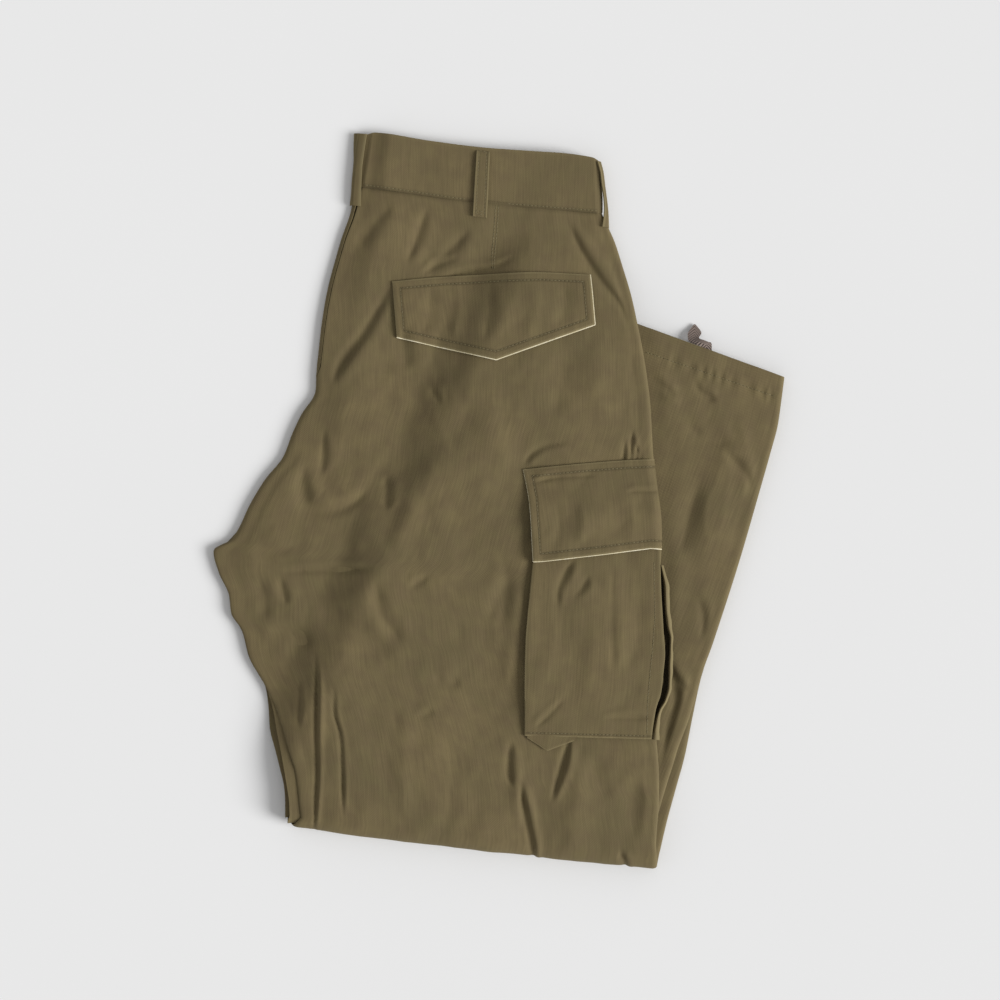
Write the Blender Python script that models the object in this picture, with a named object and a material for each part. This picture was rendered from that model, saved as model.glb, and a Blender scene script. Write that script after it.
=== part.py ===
"""Cargo trousers, folded in half along the centre back and then folded under at the knee.

Every piece is worked out in the garment's own plan: millimetres, x across, y towards the waist, z up
from the surface that the trousers lie on. The empty "garment" turns that plan to the way they lie.

The four layers of cloth are one pile. A point in the pile is (s, d): s runs across the pile, and d is the
depth from its inner face, which the left back panel lies on, to its outer face, which is the right back
panel. The pile lies with d upwards above the knee fold, turns half a circle round it, and lies with d
downwards below it.
"""

import math

import bmesh
import bpy
from mathutils import Vector
from mathutils.bvhtree import BVHTree

MM = 0.001
TILT = math.radians(-6.4)  # how far the garment is turned on the surface
PLACE = (0.00007, -0.0008)  # metres, brings the middle of the footprint to the origin

WALL = 1.2  # one layer of cloth
GAP = 0.3  # between pieces
SEAM_GAP = 0.5  # at the curved waist seam
PILE = 11.2  # four layers pressed together
STACK_GAP = 0.4  # between the upper pile and the lower leg
WAIST_Y = 251.0  # seam between the panels and the waistband
BAND_TOP_Y = 296.5
WAIST_DIP = 3.0  # how far the waist seam sags at its middle
FOLD_Y = -294.2  # outermost line of the knee fold
RAMP = 46.0  # over which the upper pile comes down beside the lower leg
HEM_CLEAR = 6.0  # how far past the hem it starts to come down

LOW_TOP = PILE + GAP  # top of the lower leg
AXIS_Z = LOW_TOP + STACK_GAP / 2
AXIS_Y = FOLD_Y + AXIS_Z

ACROSS = 10  # points across each face of the pile
CORE_SIDE = 7  # points round each edge of the hidden layers
LOBE_IN = 6.5  # how far in a folded edge starts, where one seam wraps all four layers
LEG_LOBE_IN = 4.5  # the same where each leg has its own folded edge
CLOTH_COLOUR = (0.130, 0.108, 0.050, 1.0)
EDGE_COLOUR = (0.105, 0.086, 0.040, 1.0)
TAPE_COLOUR = (0.065, 0.050, 0.045, 1.0)

# Upper pile: y, left edge of the right back, of the fronts and of the left back, right edge,
# and leg: 0 where the centre seam wraps the left edge, 1 where each leg has its own inseam
UPPER = (
    (251.0, -148.0, -148.0, -150.0, 59.4, 0.0),
    (228.0, -151.5, -151.5, -152.6, 73.0, 0.0),
    (206.0, -157.0, -157.0, -157.6, 82.6, 0.0),
    (186.0, -160.6, -160.6, -161.0, 90.6, 0.0),
    (166.0, -163.6, -163.6, -164.0, 97.3, 0.0),
    (146.0, -165.3, -165.3, -165.6, 103.8, 0.0),
    (127.0, -166.0, -166.0, -166.2, 109.4, 0.0),
    (92.0, -166.1, -166.1, -166.1, 117.8, 0.0),
    (76.0, -164.9, -164.9, -164.9, 120.5, 0.0),
    (54.0, -174.8, -174.8, -174.8, 124.2, 0.0),
    (37.0, -180.6, -180.6, -180.6, 128.0, 0.0),
    (18.0, -185.6, -185.6, -185.6, 132.6, 0.0),
    (-4.0, -199.2, -199.2, -199.2, 137.2, 0.0),
    (-24.0, -208.6, -208.6, -208.6, 140.0, 0.0),
    (-57.0, -221.6, -221.6, -221.6, 141.4, 0.0),
    (-68.0, -235.4, -234.6, -233.8, 142.0, 1.0),
    (-86.0, -229.1, -228.6, -228.0, 143.1, 1.0),
    (-104.0, -218.4, -218.2, -217.8, 144.8, 1.0),
    (-120.0, -214.4, -214.4, -214.0, 146.4, 1.0),
    (-132.0, -204.4, -204.6, -204.2, 147.2, 1.0),
    (-155.0, -195.0, -195.4, -195.6, 149.5, 1.0),
    (-178.0, -178.6, -178.8, -179.4, 152.6, 1.0),
    (-196.0, -167.2, -170.4, -174.6, 156.0, 1.0),
    (-213.0, -158.9, -165.2, -171.4, 159.0, 1.0),
    (-229.0, -152.0, -159.6, -164.8, 160.8, 1.0),
    (-244.0, -145.4, -154.8, -158.8, 162.0, 1.0),
    (-258.0, -141.6, -150.8, -153.6, 162.4, 1.0),
    (-270.0, -139.0, -147.6, -151.2, 163.0, 1.0),
    (AXIS_Y, -136.0, -145.6, -149.8, 165.0, 1.0),
)

# Lower leg: share of the way from the fold to the hem, right edge, and how far the left leg's layers
# stop short of it
LOWER = (
    (0.00, 168.0, 9.0),
    (0.07, 171.4, 9.4),
    (0.14, 175.9, 9.0),
    (0.21, 180.4, 8.0),
    (0.29, 183.2, 3.0),
    (0.37, 186.6, 0.8),
    (0.45, 193.8, 0.5),
    (0.62, 208.0, 0.5),
    (0.77, 218.6, 0.5),
    (0.84, 223.4, 0.5),
    (0.91, 227.4, 0.5),
    (1.00, 228.2, 0.5),
)
LOWER_RIGHT_Y = (AXIS_Y, 130.9)  # at the fold and at the hem
LOWER_LEFT = ((-148.5, AXIS_Y), (30.0, 178.6))
RAMP_LINE = ((-162.0, AXIS_Y), (2.2, 185.2))  # left of it the upper pile comes down to the surface

# The largest folds in the top of the pile: start x, y, end x, y, half width, height (a trough is below 0)
UPPER_FOLDS = (
    (-128.0, -150.0, -128.0, -296.0, 13.0, -1.6),
    (-104.0, -160.0, -112.0, -296.0, 14.0, 1.4),
    (-142.0, -102.0, -70.0, -132.0, 19.0, -2.2),
    (-150.0, -70.0, -80.0, -86.0, 20.0, 1.6),
    (-172.0, 10.0, -118.0, 2.0, 15.0, -1.8),
    (-196.0, -96.0, -150.0, -120.0, 16.0, 1.5),
    (50.0, -246.0, 66.0, -296.0, 13.0, -1.7),
    (70.0, -220.0, 84.0, -296.0, 14.0, 1.4),
    (-160.0, 150.0, -96.0, 70.0, 18.0, -1.5),
    (-20.0, 70.0, 40.0, 96.0, 20.0, 1.2),
    (90.0, 150.0, 100.0, 66.0, 13.0, 1.3),
    (-60.0, -20.0, -10.0, -44.0, 20.0, 1.3),
)
# The same in the top of the lower leg
LOWER_FOLDS = (
    (178.0, -30.0, 190.0, 72.0, 14.0, 1.8),
    (160.0, 112.0, 214.0, 96.0, 11.0, -1.5),
    (172.0, -90.0, 176.0, -160.0, 11.0, -1.3),
)

# Right back pocket flap, from its sewn top down: left x, y, right x, y, height of its middle over that line
BACK_FLAP = (
    (-110.3, 174.3, 54.7, 196.5, 4.5),
    (-106.6, 156.0, 58.2, 180.0, -4.0),
    (-103.4, 139.6, 61.4, 165.0, -14.0),
    (-101.2, 128.2, 63.2, 156.3, -24.5),
)
# Right cargo flap: left x, y, right x, y
CARGO_FLAP = (
    (17.2, 29.0, 125.1, 49.9),
    (20.4, 18.0, 127.8, 38.0),
    (24.7, 4.5, 130.6, 26.0),
    (28.6, -20.0, 135.4, 2.0),
    (33.9, -46.8, 139.8, -24.3),
)
# Right cargo bag: left x, y, right x, y, height off the panel
CARGO_BAG = (
    (33.0, -30.0, 136.6, -9.0, 3.2),
    (34.0, -46.0, 138.0, -27.0, 3.6),
    (34.2, -72.0, 144.0, -66.0, 4.2),
    (34.8, -106.0, 150.0, -97.0, 4.6),
    (37.2, -140.0, 153.4, -130.0, 4.8),
    (40.2, -168.0, 151.0, -160.0, 4.4),
    (43.4, -190.6, 153.6, -183.4, 3.4),
)
# Gusset of the cargo bag: y, its inner edge beside the leg, its outer lip, height of the lip
CARGO_GUSSET = (
    (-52.0, 145.6, 147.6, 19.0),
    (-72.0, 147.6, 152.6, 19.0),
    (-98.0, 149.8, 157.4, 19.4),
    (-124.0, 151.6, 160.6, 19.6),
    (-146.0, 153.2, 159.8, 19.2),
    (-164.0, 155.2, 158.8, 18.4),
)

FLAP_WALL = 1.8
BAG_CLEAR = GAP + 0.3  # between the leg and the bag's sewn edges
BAG_ROUNDING = 0.6  # how far the bag's face comes down at its two sides
BAG_HEM = 1.2  # from the face's last row down to the sewn edge
BAND_WALL = 2.0
BAND_PILE = 10.0
CENTRE_FRONT_X = -128.0  # inner end of the folded front waistband
LOOP_WALL = 1.4
LOOP_WIDTH = 11.5
LOOP_END_Y = 236.5


def smooth(t):
    t = min(max(t, 0.0), 1.0)
    return t * t * (3 - 2 * t)


def blend(a, b, t):
    return a + (b - a) * t


def table_value(rows, key, value, column):
    """The column's value where the key column has the given value, on straight lines between rows."""
    step = 1 if rows[-1][key] > rows[0][key] else -1
    for low, high in zip(rows, rows[1:]):
        if (value - high[key]) * step <= 0:
            t = (value - low[key]) / (high[key] - low[key])
            return blend(low[column], high[column], max(t, 0.0))
    return rows[-1][column]


def relief(folds, x, y):
    """Height of all the large folds at one place."""
    total = 0.0
    for x0, y0, x1, y1, width, height in folds:
        length = math.hypot(x1 - x0, y1 - y0)
        ux, uy = (x1 - x0) / length, (y1 - y0) / length
        along = (x - x0) * ux + (y - y0) * uy
        off = (x - x0) * uy - (y - y0) * ux
        ends = smooth((along + width) / (2 * width)) * smooth((length - along + width) / (2 * width))
        total += height * ends * math.exp(-((off / width) ** 2))
    return total


def lower_line(share):
    """Left and right ends of one row across the lower leg."""
    right = table_value(LOWER, 0, share, 1)
    (x0, y0), (x1, y1) = LOWER_LEFT
    left_end = Vector((blend(x0, x1, share), blend(y0, y1, share)))
    right_end = Vector((right, blend(LOWER_RIGHT_Y[0], LOWER_RIGHT_Y[1], share)))
    return left_end, right_end


def lift(x, y):
    """Height of the upper pile's underside: on the lower leg, or on the surface beyond it."""
    (x0, y0), (x1, y1) = RAMP_LINE
    length = math.hypot(x1 - x0, y1 - y0)
    beside = ((x0 - x) * (y1 - y0) - (y0 - y) * (x1 - x0)) / length
    hem_left, hem_right = lower_line(1.0)
    hem = hem_right - hem_left
    beyond = ((y - hem_left.y) * hem.x - (x - hem_left.x) * hem.y) / hem.length
    away = math.hypot(max(beside, 0.0), max(beyond - HEM_CLEAR, 0.0))
    return (AXIS_Z + STACK_GAP / 2) * (1 - smooth(away / RAMP))


def right_edge(y):
    return table_value(UPPER, 0, y, 4)


def upper_thickness(x, y):
    """The pile is fuller at the seat and thigh, and thinner towards its folded edges."""
    edge = min(x - table_value(UPPER, 0, y, 1), right_edge(y) - x)
    crown = 1.6 * smooth(edge / 60)
    return PILE - 1.4 + crown + relief(UPPER_FOLDS, x, y) * smooth(edge / 18)


def lower_top(x, y):
    """Top of the lower leg: pressed flat under the upper pile, and free to rise beside it."""
    clear = smooth((x - right_edge(max(y, FOLD_Y)) - 4) / 14)
    return LOW_TOP + clear * (0.8 + relief(LOWER_FOLDS, x, y))


def pile_rows():
    """Each row: a function from (s, d) to a point, the edges of the layers, and the thickness at s."""
    rows = []
    dip_mid = (UPPER[0][1] + UPPER[0][4]) / 2
    dip_half = (UPPER[0][4] - UPPER[0][1]) / 2
    for y, top, mid, low, right, leg in UPPER:
        sag = WAIST_DIP * smooth((y - 166.0) / 85)

        def upper_point(s, d, y=y, sag=sag):
            line = y - sag * max(1 - ((s - dip_mid) / dip_half) ** 2, 0.0)
            return Vector((s, line, lift(s, y) + d))

        edges = {"top": top, "mid": mid, "low": low, "right": right, "right_low": right - 1.5, "leg": leg}
        rows.append((upper_point, edges, lambda s, y=y: upper_thickness(s, y)))
    last, first = UPPER[-1], LOWER[0]
    for step in range(1, 6):
        turn = math.pi * step / 6
        share = step / 6
        persist = math.cos(turn / 2) ** 2

        def fold_point(s, d, turn=turn):
            radius = STACK_GAP / 2 + d
            return Vector((s, AXIS_Y - radius * math.sin(turn), AXIS_Z + radius * math.cos(turn)))

        def fold_thickness(s, persist=persist):
            return LOW_TOP + persist * (upper_thickness(s, AXIS_Y) - LOW_TOP)

        edges = {
            "top": blend(last[1], LOWER_LEFT[0][0], share),
            "mid": blend(last[2], LOWER_LEFT[0][0], share),
            "low": blend(last[3], LOWER_LEFT[0][0] - 1, share),
            "right": blend(last[4], first[1], share),
            "right_low": blend(last[4] - 1.5, first[1] - first[2], share),
            "leg": 1.0,
        }
        rows.append((fold_point, edges, fold_thickness))
    for share, _, short in LOWER:
        left_end, right_end = lower_line(share)
        across = right_end - left_end
        length = across.length
        unit = across / length

        def lower_point(s, d, start=left_end, unit=unit):
            place = start + unit * s
            return Vector((place.x, place.y, lower_top(place.x, place.y) - d))

        def lower_thickness(s, start=left_end, unit=unit):
            place = start + unit * s
            return lower_top(place.x, place.y)

        edges = {"top": 0, "mid": 0, "low": 0, "right": length, "right_low": length - short, "leg": 1.0}
        rows.append((lower_point, edges, lower_thickness))
    return rows


def lobe(leg, thickness):
    """Height of the half of a folded edge that each back panel covers, and how far in it starts."""
    height = blend(thickness / 2 - GAP / 2, thickness / 4, leg)
    return height, blend(LOBE_IN, LEG_LOBE_IN, leg)


def spread(start, end, count):
    return [blend(start, end, i / (count - 1)) for i in range(count)]


def face_line(row, outer, depth):
    """One row across a back panel: depth is how far the line lies inside the pile's face."""
    point, edges, thickness = row
    left = edges["top"] if outer else edges["low"]
    right = edges["right"] if outer else edges["right_low"]

    def place(s, tuck, at):
        full = thickness(at)
        inside = depth + tuck
        return point(s, full - inside if outer else inside)

    height_left, in_left = lobe(edges["leg"], thickness(left + 5))
    height_right, in_right = lobe(1.0, thickness(right - 5))
    diag = math.sqrt(0.5)
    line = [
        place(left + depth, height_left - depth, left + 5),
        place(left + in_left - (in_left - depth) * diag, (height_left - depth) * (1 - diag), left + 5),
    ]
    line += [place(s, 0, s) for s in spread(left + in_left, right - in_right, ACROSS)]
    line += [
        place(right - in_right + (in_right - depth) * diag, (height_right - depth) * (1 - diag), right - 5),
        place(right - depth, height_right - depth, right - 5),
    ]
    return line


def core_loop(row):
    """One loop round the hidden front layers, with the edges of the two legs' layers showing."""
    point, edges, thickness = row
    inside = WALL + GAP
    groove = 5.0

    def side(outer_edge, shown, inner_edge, leg, sign):
        """From the top face down round one edge to the bottom face; sign is 1 at the left."""
        full = thickness(outer_edge + 5 * sign)
        high, start = lobe(leg, full)
        full_low = thickness(inner_edge + 5 * sign)
        low, start_low = lobe(leg, full_low)
        diag = math.sqrt(0.5)
        hidden = outer_edge + sign * inside
        hidden_low = inner_edge + sign * inside
        step = GAP * leg
        middle = full / 2
        return [
            point(outer_edge + sign * (start - (start - inside) * diag), full - high + (high - inside) * diag),
            point(hidden, full - high - step),
            point(blend(hidden, shown, leg), full - high - step - 0.04),
            point(blend(hidden, max(shown * sign, inner_edge * sign) * sign + sign * groove, leg), middle),
            point(blend(hidden_low, inner_edge, leg), low + step + 0.04),
            point(hidden_low, low + step),
            point(inner_edge + sign * (start_low - (start_low - inside) * diag), low - (low - inside) * diag),
        ]

    left, right = edges["top"], edges["right"]
    left_low, right_low = edges["low"], edges["right_low"]
    _, in_left = lobe(edges["leg"], thickness(left + 5))
    _, in_left_low = lobe(edges["leg"], thickness(left_low + 5))
    _, in_right = lobe(1.0, thickness(right - 5))
    top = [point(s, thickness(s) - inside) for s in spread(left + in_left, right - in_right, ACROSS)]
    bottom = [
        point(s, inside) for s in spread(left_low + in_left_low, right_low - in_right, ACROSS)
    ]
    right_side = side(right, right, right_low, 1.0, -1)
    left_side = side(left, edges["mid"], left_low, edges["leg"], 1)
    return top + right_side + bottom[::-1] + left_side[::-1]


def material(name, colour, roughness):
    made = bpy.data.materials.new(name)
    made.use_nodes = True
    shader = made.node_tree.nodes["Principled BSDF"]
    shader.inputs["Base Color"].default_value = colour
    shader.inputs["Roughness"].default_value = roughness
    shader.inputs["Metallic"].default_value = 0.0
    return made


def add_object(name, points, faces, colour=CLOTH_COLOUR):
    mesh = bpy.data.meshes.new(name)
    mesh.from_pydata([p * MM for p in points], [], faces)
    mesh.validate()
    mesh.shade_smooth()
    made = bpy.data.objects.new(name, mesh)
    made.data.materials.append(material(name, colour, 0.9))
    made.parent = bpy.data.objects["garment"]
    bpy.context.scene.collection.objects.link(made)
    return made


def grid_faces(rows, width, closed=False):
    """Quads between rows of points; a closed row joins its last point to its first."""
    faces = []
    for r in range(rows - 1):
        for c in range(width if closed else width - 1):
            n = (c + 1) % width
            faces.append((r * width + c, (r + 1) * width + c, (r + 1) * width + n, r * width + n))
    return faces


def wall(made, thickness):
    """Gives a sheet its wall, on the inner side of its face."""
    solid = made.modifiers.new("wall", "SOLIDIFY")
    solid.thickness = thickness * MM
    solid.offset = -1.0
    solid.use_even_offset = True
    solid.use_rim = True
    return made


def sheet(name, rows, thickness, colour=CLOTH_COLOUR, closed=False):
    """A sheet of cloth through rows of points on its outer face."""
    points = [p for row in rows for p in row]
    faces = grid_faces(len(rows), len(rows[0]), closed)
    wall(add_object(name, points, faces, colour), thickness)


def halves(points, quad):
    """A quad as two triangles, cut from its low x in one row to its high x in the next.

    Faces that lie on each other in the pile are all cut the same way, so the gap between them is even.
    """
    a, b, c, d = quad
    if points[a].x <= points[d].x:
        return [(a, b, c), (a, c, d)]
    return [(a, b, d), (b, c, d)]


def closed_body(name, loops, cap, colour):
    """A body through closed loops of points; cap lists the faces that close a loop."""
    width = len(loops[0])
    points = [p for loop in loops for p in loop]
    quads = grid_faces(len(loops), width, closed=True)
    faces = [half for quad in quads for half in halves(points, quad)]
    last = (len(loops) - 1) * width
    faces += cap + [tuple(last + i for i in face) for face in cap]
    made = add_object(name, points, faces, colour)
    body = bmesh.new()
    body.from_mesh(made.data)
    bmesh.ops.recalc_face_normals(body, faces=body.faces)
    body.to_mesh(made.data)
    body.free()


def back_panel(name, rows, outer, colour):
    """A wall of cloth: its face, and its back one wall further into the pile."""
    loops = [face_line(row, outer, 0.0) + face_line(row, outer, WALL)[::-1] for row in rows]
    count = len(loops[0])
    cap = [(i, i + 1, count - 2 - i, count - 1 - i) for i in range(count // 2 - 1)]
    closed_body(name, loops, cap, colour)


def front_layers(rows):
    loops = [core_loop(row) for row in rows]
    count = len(loops[0])
    right_side = list(range(ACROSS - 1, ACROSS + CORE_SIDE + 1))
    left_side = list(range(2 * ACROSS + CORE_SIDE - 1, count)) + [0]
    bottom = 2 * ACROSS + CORE_SIDE - 1
    cap = [(i, i + 1, bottom - i - 1, bottom - i) for i in range(ACROSS - 1)]
    cap += [tuple(right_side), tuple(left_side)]
    closed_body("front_layers", loops, cap, EDGE_COLOUR)


def surface(rows):
    """A tree for finding the height of the top of a sheet."""
    points = [p for row in rows for p in row]
    return BVHTree.FromPolygons(points, grid_faces(len(rows), len(rows[0])))


def rest_height(trees, x, y, reach):
    """The highest point of what lies below, within reach of one place."""
    best = 0.0
    for dx in (-reach, -reach / 2, 0, reach / 2, reach):
        for dy in (-reach, -reach / 2, 0, reach / 2, reach):
            for tree in trees:
                hit = tree.ray_cast(Vector((x + dx, y + dy, 200)), Vector((0, 0, -1)))[0]
                if hit is not None:
                    best = max(best, hit.z)
    return best


def between(row, t):
    return blend(row[0], row[2], t), blend(row[1], row[3], t)


def pocket_flap_back(trees):
    rows = []
    for x0, y0, x1, y1, middle in BACK_FLAP:
        line = []
        for t in spread(0.0, 1.0, 9):
            x, y = between((x0, y0, x1, y1), t)
            peak = 1 - abs(t - 0.5) * 2
            y += middle * (peak if middle < 0 else peak * (2 - peak))
            line.append(Vector((x, y, rest_height(trees, x, y, 9) + GAP + FLAP_WALL)))
        rows.append(line)
    sheet("pocket_flap_back", rows, FLAP_WALL)


def bag_base(trees, x, y):
    """Height of the leg under the bag, which reaches past the leg's right edge."""
    return rest_height(trees, min(x, right_edge(y) - 5), y, 6)


def cargo_bag(trees):
    """The bag stands off the leg, and its sides turn down to it."""
    rows = []
    for x0, y0, x1, y1, height in CARGO_BAG:
        line = []
        for t in (0.0, 0.012, 0.1, 0.25, 0.42, 0.6, 0.78, 0.92, 0.985, 1.0):
            x, y = between((x0, y0, x1, y1), t)
            rise = BAG_CLEAR
            if 0 < t < 1:
                rounding = smooth((0.06 - t) / 0.06) + smooth((t - 0.94) / 0.06)
                rise = height - BAG_ROUNDING * rounding
            line.append(Vector((x, y, bag_base(trees, x, y) + rise + WALL)))
        rows.append(line)
    hem = []
    for p in rows[-1]:
        y = p.y - BAG_HEM
        hem.append(Vector((p.x, y, bag_base(trees, p.x, y) + BAG_CLEAR + WALL)))
    rows.append(hem)
    sheet("cargo_bag", rows, WALL)
    return rows


def cargo_gusset():
    """A folded bellows beside the bag: out to its lip and back under itself."""
    rows = []
    for y, inner, lip, z in CARGO_GUSSET:
        rows.append(
            [
                Vector((inner + 0.6, y, z + 2.6)),
                Vector((blend(inner, lip, 0.7), y, z + 1.9)),
                Vector((lip, y, z)),
                Vector((blend(inner, lip, 0.7), y, z - 2.0)),
                Vector((inner + 0.6, y, z - 2.8)),
            ]
        )
    sheet("cargo_gusset", rows, 0.9, EDGE_COLOUR)


def cargo_flap(trees):
    rows = []
    for x0, y0, x1, y1 in CARGO_FLAP:
        line = []
        for t in spread(0.0, 1.0, 8):
            x, y = between((x0, y0, x1, y1), t)
            line.append(Vector((x, y, rest_height(trees, min(x, 150), y, 12) + GAP + FLAP_WALL)))
        rows.append(line)
    sheet("cargo_flap", rows, FLAP_WALL)


def arc(cx, cz, radius_x, radius_z, start, end, steps):
    """Points round part of an ellipse, angles in degrees from +x towards +z."""
    turns = [math.radians(blend(start, end, i / steps)) for i in range(steps + 1)]
    return [(cx + radius_x * math.cos(a), cz + radius_z * math.sin(a)) for a in turns]


def band_section(left, right):
    """Outer face of the folded waistband: right back, right front, left front, left back."""
    half = BAND_PILE / 2
    layer = (half - GAP / 2) / 2
    fold_in = layer + 1.0
    top = [(x, BAND_PILE) for x in spread(left + 7, right - fold_in, 8)]
    right_top = arc(right - fold_in, BAND_PILE - layer, fold_in, layer, 90, -90, 6)[1:]
    centre_front = [(CENTRE_FRONT_X, half + GAP / 2), (CENTRE_FRONT_X - 0.2, half), (CENTRE_FRONT_X, half - GAP / 2)]
    right_low = arc(right - 1 - fold_in, layer, fold_in, layer, 90, -90, 6)
    bottom = [(x, 0.0) for x in spread(right - 1 - fold_in, left + 7, 8)][1:]
    wrap = arc(left + 7, half, 7, half, 270, 90, 8)[1:-1]
    return top + right_top + centre_front + right_low + bottom + wrap


def band_edges(y):
    t = (y - WAIST_Y) / (BAND_TOP_Y - WAIST_Y)
    return blend(-150.4, -148.4, t), blend(59.4, 53.0, t)


def waistband():
    rows = []
    mid = (UPPER[0][1] + UPPER[0][4]) / 2
    half = (UPPER[0][4] - UPPER[0][1]) / 2
    for y in spread(BAND_TOP_Y, WAIST_Y + SEAM_GAP, 4):
        left, right = band_edges(y)
        rows.append(
            [
                Vector((x, y - WAIST_DIP * max(1 - ((x - mid) / half) ** 2, 0.0), z))
                for x, z in band_section(left, right)
            ]
        )
    sheet("waistband", rows, BAND_WALL, closed=True)
    return rows


def belt_loop_flat(name, x_top, x_end, trees):
    """A strip from over the band's top edge to its bar below the waist seam."""
    rows = []
    for t in (0.0, 0.06, 0.3, 0.6, 0.88, 1.0):
        y = blend(BAND_TOP_Y - 2.6, LOOP_END_Y, t)
        x = blend(x_top, x_end, t)
        bow = 0.9 * math.sin(math.pi * t)
        line = []
        for side in (0, 0.5, 1):
            place = x + LOOP_WIDTH * side
            line.append(Vector((place, y, rest_height(trees, place, y, 8) + GAP + bow + LOOP_WALL)))
        rows.append(line)
    sheet(name, rows, LOOP_WALL, EDGE_COLOUR)


def belt_loop_wrapped(name, side, centre_z, low_z, high_z, stand_off):
    """A strip over a folded edge of the band; side is -1 at the left edge and 1 at the right."""
    rows = []
    for t in (0.0, 0.06, 0.3, 0.6, 0.85, 1.0):
        y = blend(BAND_TOP_Y - 0.5, LOOP_END_Y + 2, t)
        left, right = band_edges(max(y, WAIST_Y))
        below = max(WAIST_Y - y, 0.0)
        panel = table_value(UPPER, 0, min(y, WAIST_Y), 4 if side > 0 else 3)
        edge = (panel if below > 0 else right) if side > 0 else min(left, panel)
        bow = 0.4 + stand_off * math.sin(math.pi * t)
        reach_x, reach_z = 5.0 + bow + LOOP_WALL, high_z - centre_z + GAP + LOOP_WALL + 0.5 * bow
        reach_low = centre_z - low_z
        line = [
            Vector((edge - side * 9.0, y, centre_z + reach_z)),
            Vector((edge - side * 4.5, y, centre_z + reach_z - 0.1)),
            Vector((edge + side * (0.3 * reach_x - 0.6), y, centre_z + 0.80 * reach_z)),
            Vector((edge + side * (bow + LOOP_WALL + GAP), y, centre_z)),
            Vector((edge + side * (bow + LOOP_WALL + GAP), y, centre_z - reach_low)),
        ]
        rows.append(line if side > 0 else line[::-1])
    sheet(name, rows, LOOP_WALL, EDGE_COLOUR)


def belt_loop_under():
    """The left side loop, round the lower of the band's two right folds."""
    rows = []
    for t in (0.0, 0.3, 0.7, 1.0):
        y = blend(BAND_TOP_Y - 0.5, WAIST_Y + 2, t)
        edge = band_edges(y)[1] - 1 + LOOP_WALL + GAP + 0.3
        bow = 0.8 * math.sin(math.pi * t)
        rows.append([Vector((edge + bow + dx, y, z)) for dx, z in ((-1.2, 4.6), (0.0, 2.6), (-1.0, 0.8))])
    sheet("belt_loop_side_left", rows, LOOP_WALL, EDGE_COLOUR)


def hem_tie():
    """The drawcord's free end: a flat tape out of the hem, folded over and back to a pointed loop."""
    route = (
        # x, y, z, half width, direction across the tape in degrees
        (159.5, 149.8, 9.2, 4.2, -8),
        (157.6, 152.6, 9.6, 4.0, 30),
        (153.0, 153.4, 8.4, 3.4, 60),
        (149.6, 155.6, 7.0, 3.4, 20),
        (148.6, 161.0, 5.4, 5.0, 5),
        (147.8, 165.6, 4.0, 2.6, 0),
        (147.0, 162.0, 2.4, 4.4, 0),
        (146.8, 156.8, 1.6, 4.0, 0),
    )
    rows = []
    for x, y, z, half, turn in route:
        ux, uy = math.cos(math.radians(turn)), math.sin(math.radians(turn))
        rows.append([Vector((x + ux * half * k, y + uy * half * k, z)) for k in (-1, 0, 1)])
    sheet("hem_tie", rows, 0.9, TAPE_COLOUR)


def build():
    for old in list(bpy.data.objects):
        bpy.data.objects.remove(old)
    garment = bpy.data.objects.new("garment", None)
    bpy.context.scene.collection.objects.link(garment)
    rows = pile_rows()
    back_panel("back_right", rows, True, CLOTH_COLOUR)
    back_panel("back_left", rows, False, EDGE_COLOUR)
    front_layers(rows)
    panel = surface([face_line(row, True, 0.0) for row in rows])
    band = surface(waistband())
    pocket_flap_back([panel])
    bag = surface(cargo_bag([panel]))
    cargo_gusset()
    cargo_flap([panel, bag])
    belt_loop_flat("belt_loop_back_right", -52.0, -48.6, [panel, band])
    belt_loop_wrapped("belt_loop_centre_back", -1, BAND_PILE / 2, 2.0, BAND_PILE, 1.6)
    belt_loop_wrapped("belt_loop_side_right", 1, BAND_PILE * 0.75, 6.2, BAND_PILE, 3.4)
    belt_loop_under()
    hem_tie()
    garment.rotation_euler = (0, 0, TILT)
    garment.location = (PLACE[0], PLACE[1], 0)


build()
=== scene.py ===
"""Olive cotton cargo trousers, folded in half along the centre back and then under at the knee.

The garment is laid out in its own plan, in millimetres: x across, y towards the waist, z up from the
surface it lies on. TILT and PLACE turn that plan to the way the trousers lie, as in the CAD part.

The four layers of cloth are one pile. A point in the pile is (s, d): s runs across it, and d is the depth
from the left back panel's face to the right back panel's. Above the knee fold the pile lies with d
upwards, it turns half a circle round the fold, and below the fold it lies with d downwards.
"""

import math

import bmesh
import bpy
import numpy as np
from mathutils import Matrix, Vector


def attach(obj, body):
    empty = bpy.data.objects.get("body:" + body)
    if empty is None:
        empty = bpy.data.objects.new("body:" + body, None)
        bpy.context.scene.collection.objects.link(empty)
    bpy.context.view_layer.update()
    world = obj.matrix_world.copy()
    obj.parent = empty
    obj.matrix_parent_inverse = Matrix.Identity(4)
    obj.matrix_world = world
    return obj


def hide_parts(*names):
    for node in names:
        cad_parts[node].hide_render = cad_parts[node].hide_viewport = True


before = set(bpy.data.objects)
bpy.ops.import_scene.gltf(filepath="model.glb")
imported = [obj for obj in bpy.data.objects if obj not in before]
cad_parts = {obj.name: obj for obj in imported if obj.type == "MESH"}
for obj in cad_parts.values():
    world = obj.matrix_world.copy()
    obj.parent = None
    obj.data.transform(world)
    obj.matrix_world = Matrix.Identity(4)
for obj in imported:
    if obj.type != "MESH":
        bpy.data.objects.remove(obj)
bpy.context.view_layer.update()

MM = 0.001
TILT = math.radians(-6.4)
PLACE = (0.00007, -0.0008)
BODY = "root"

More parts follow.
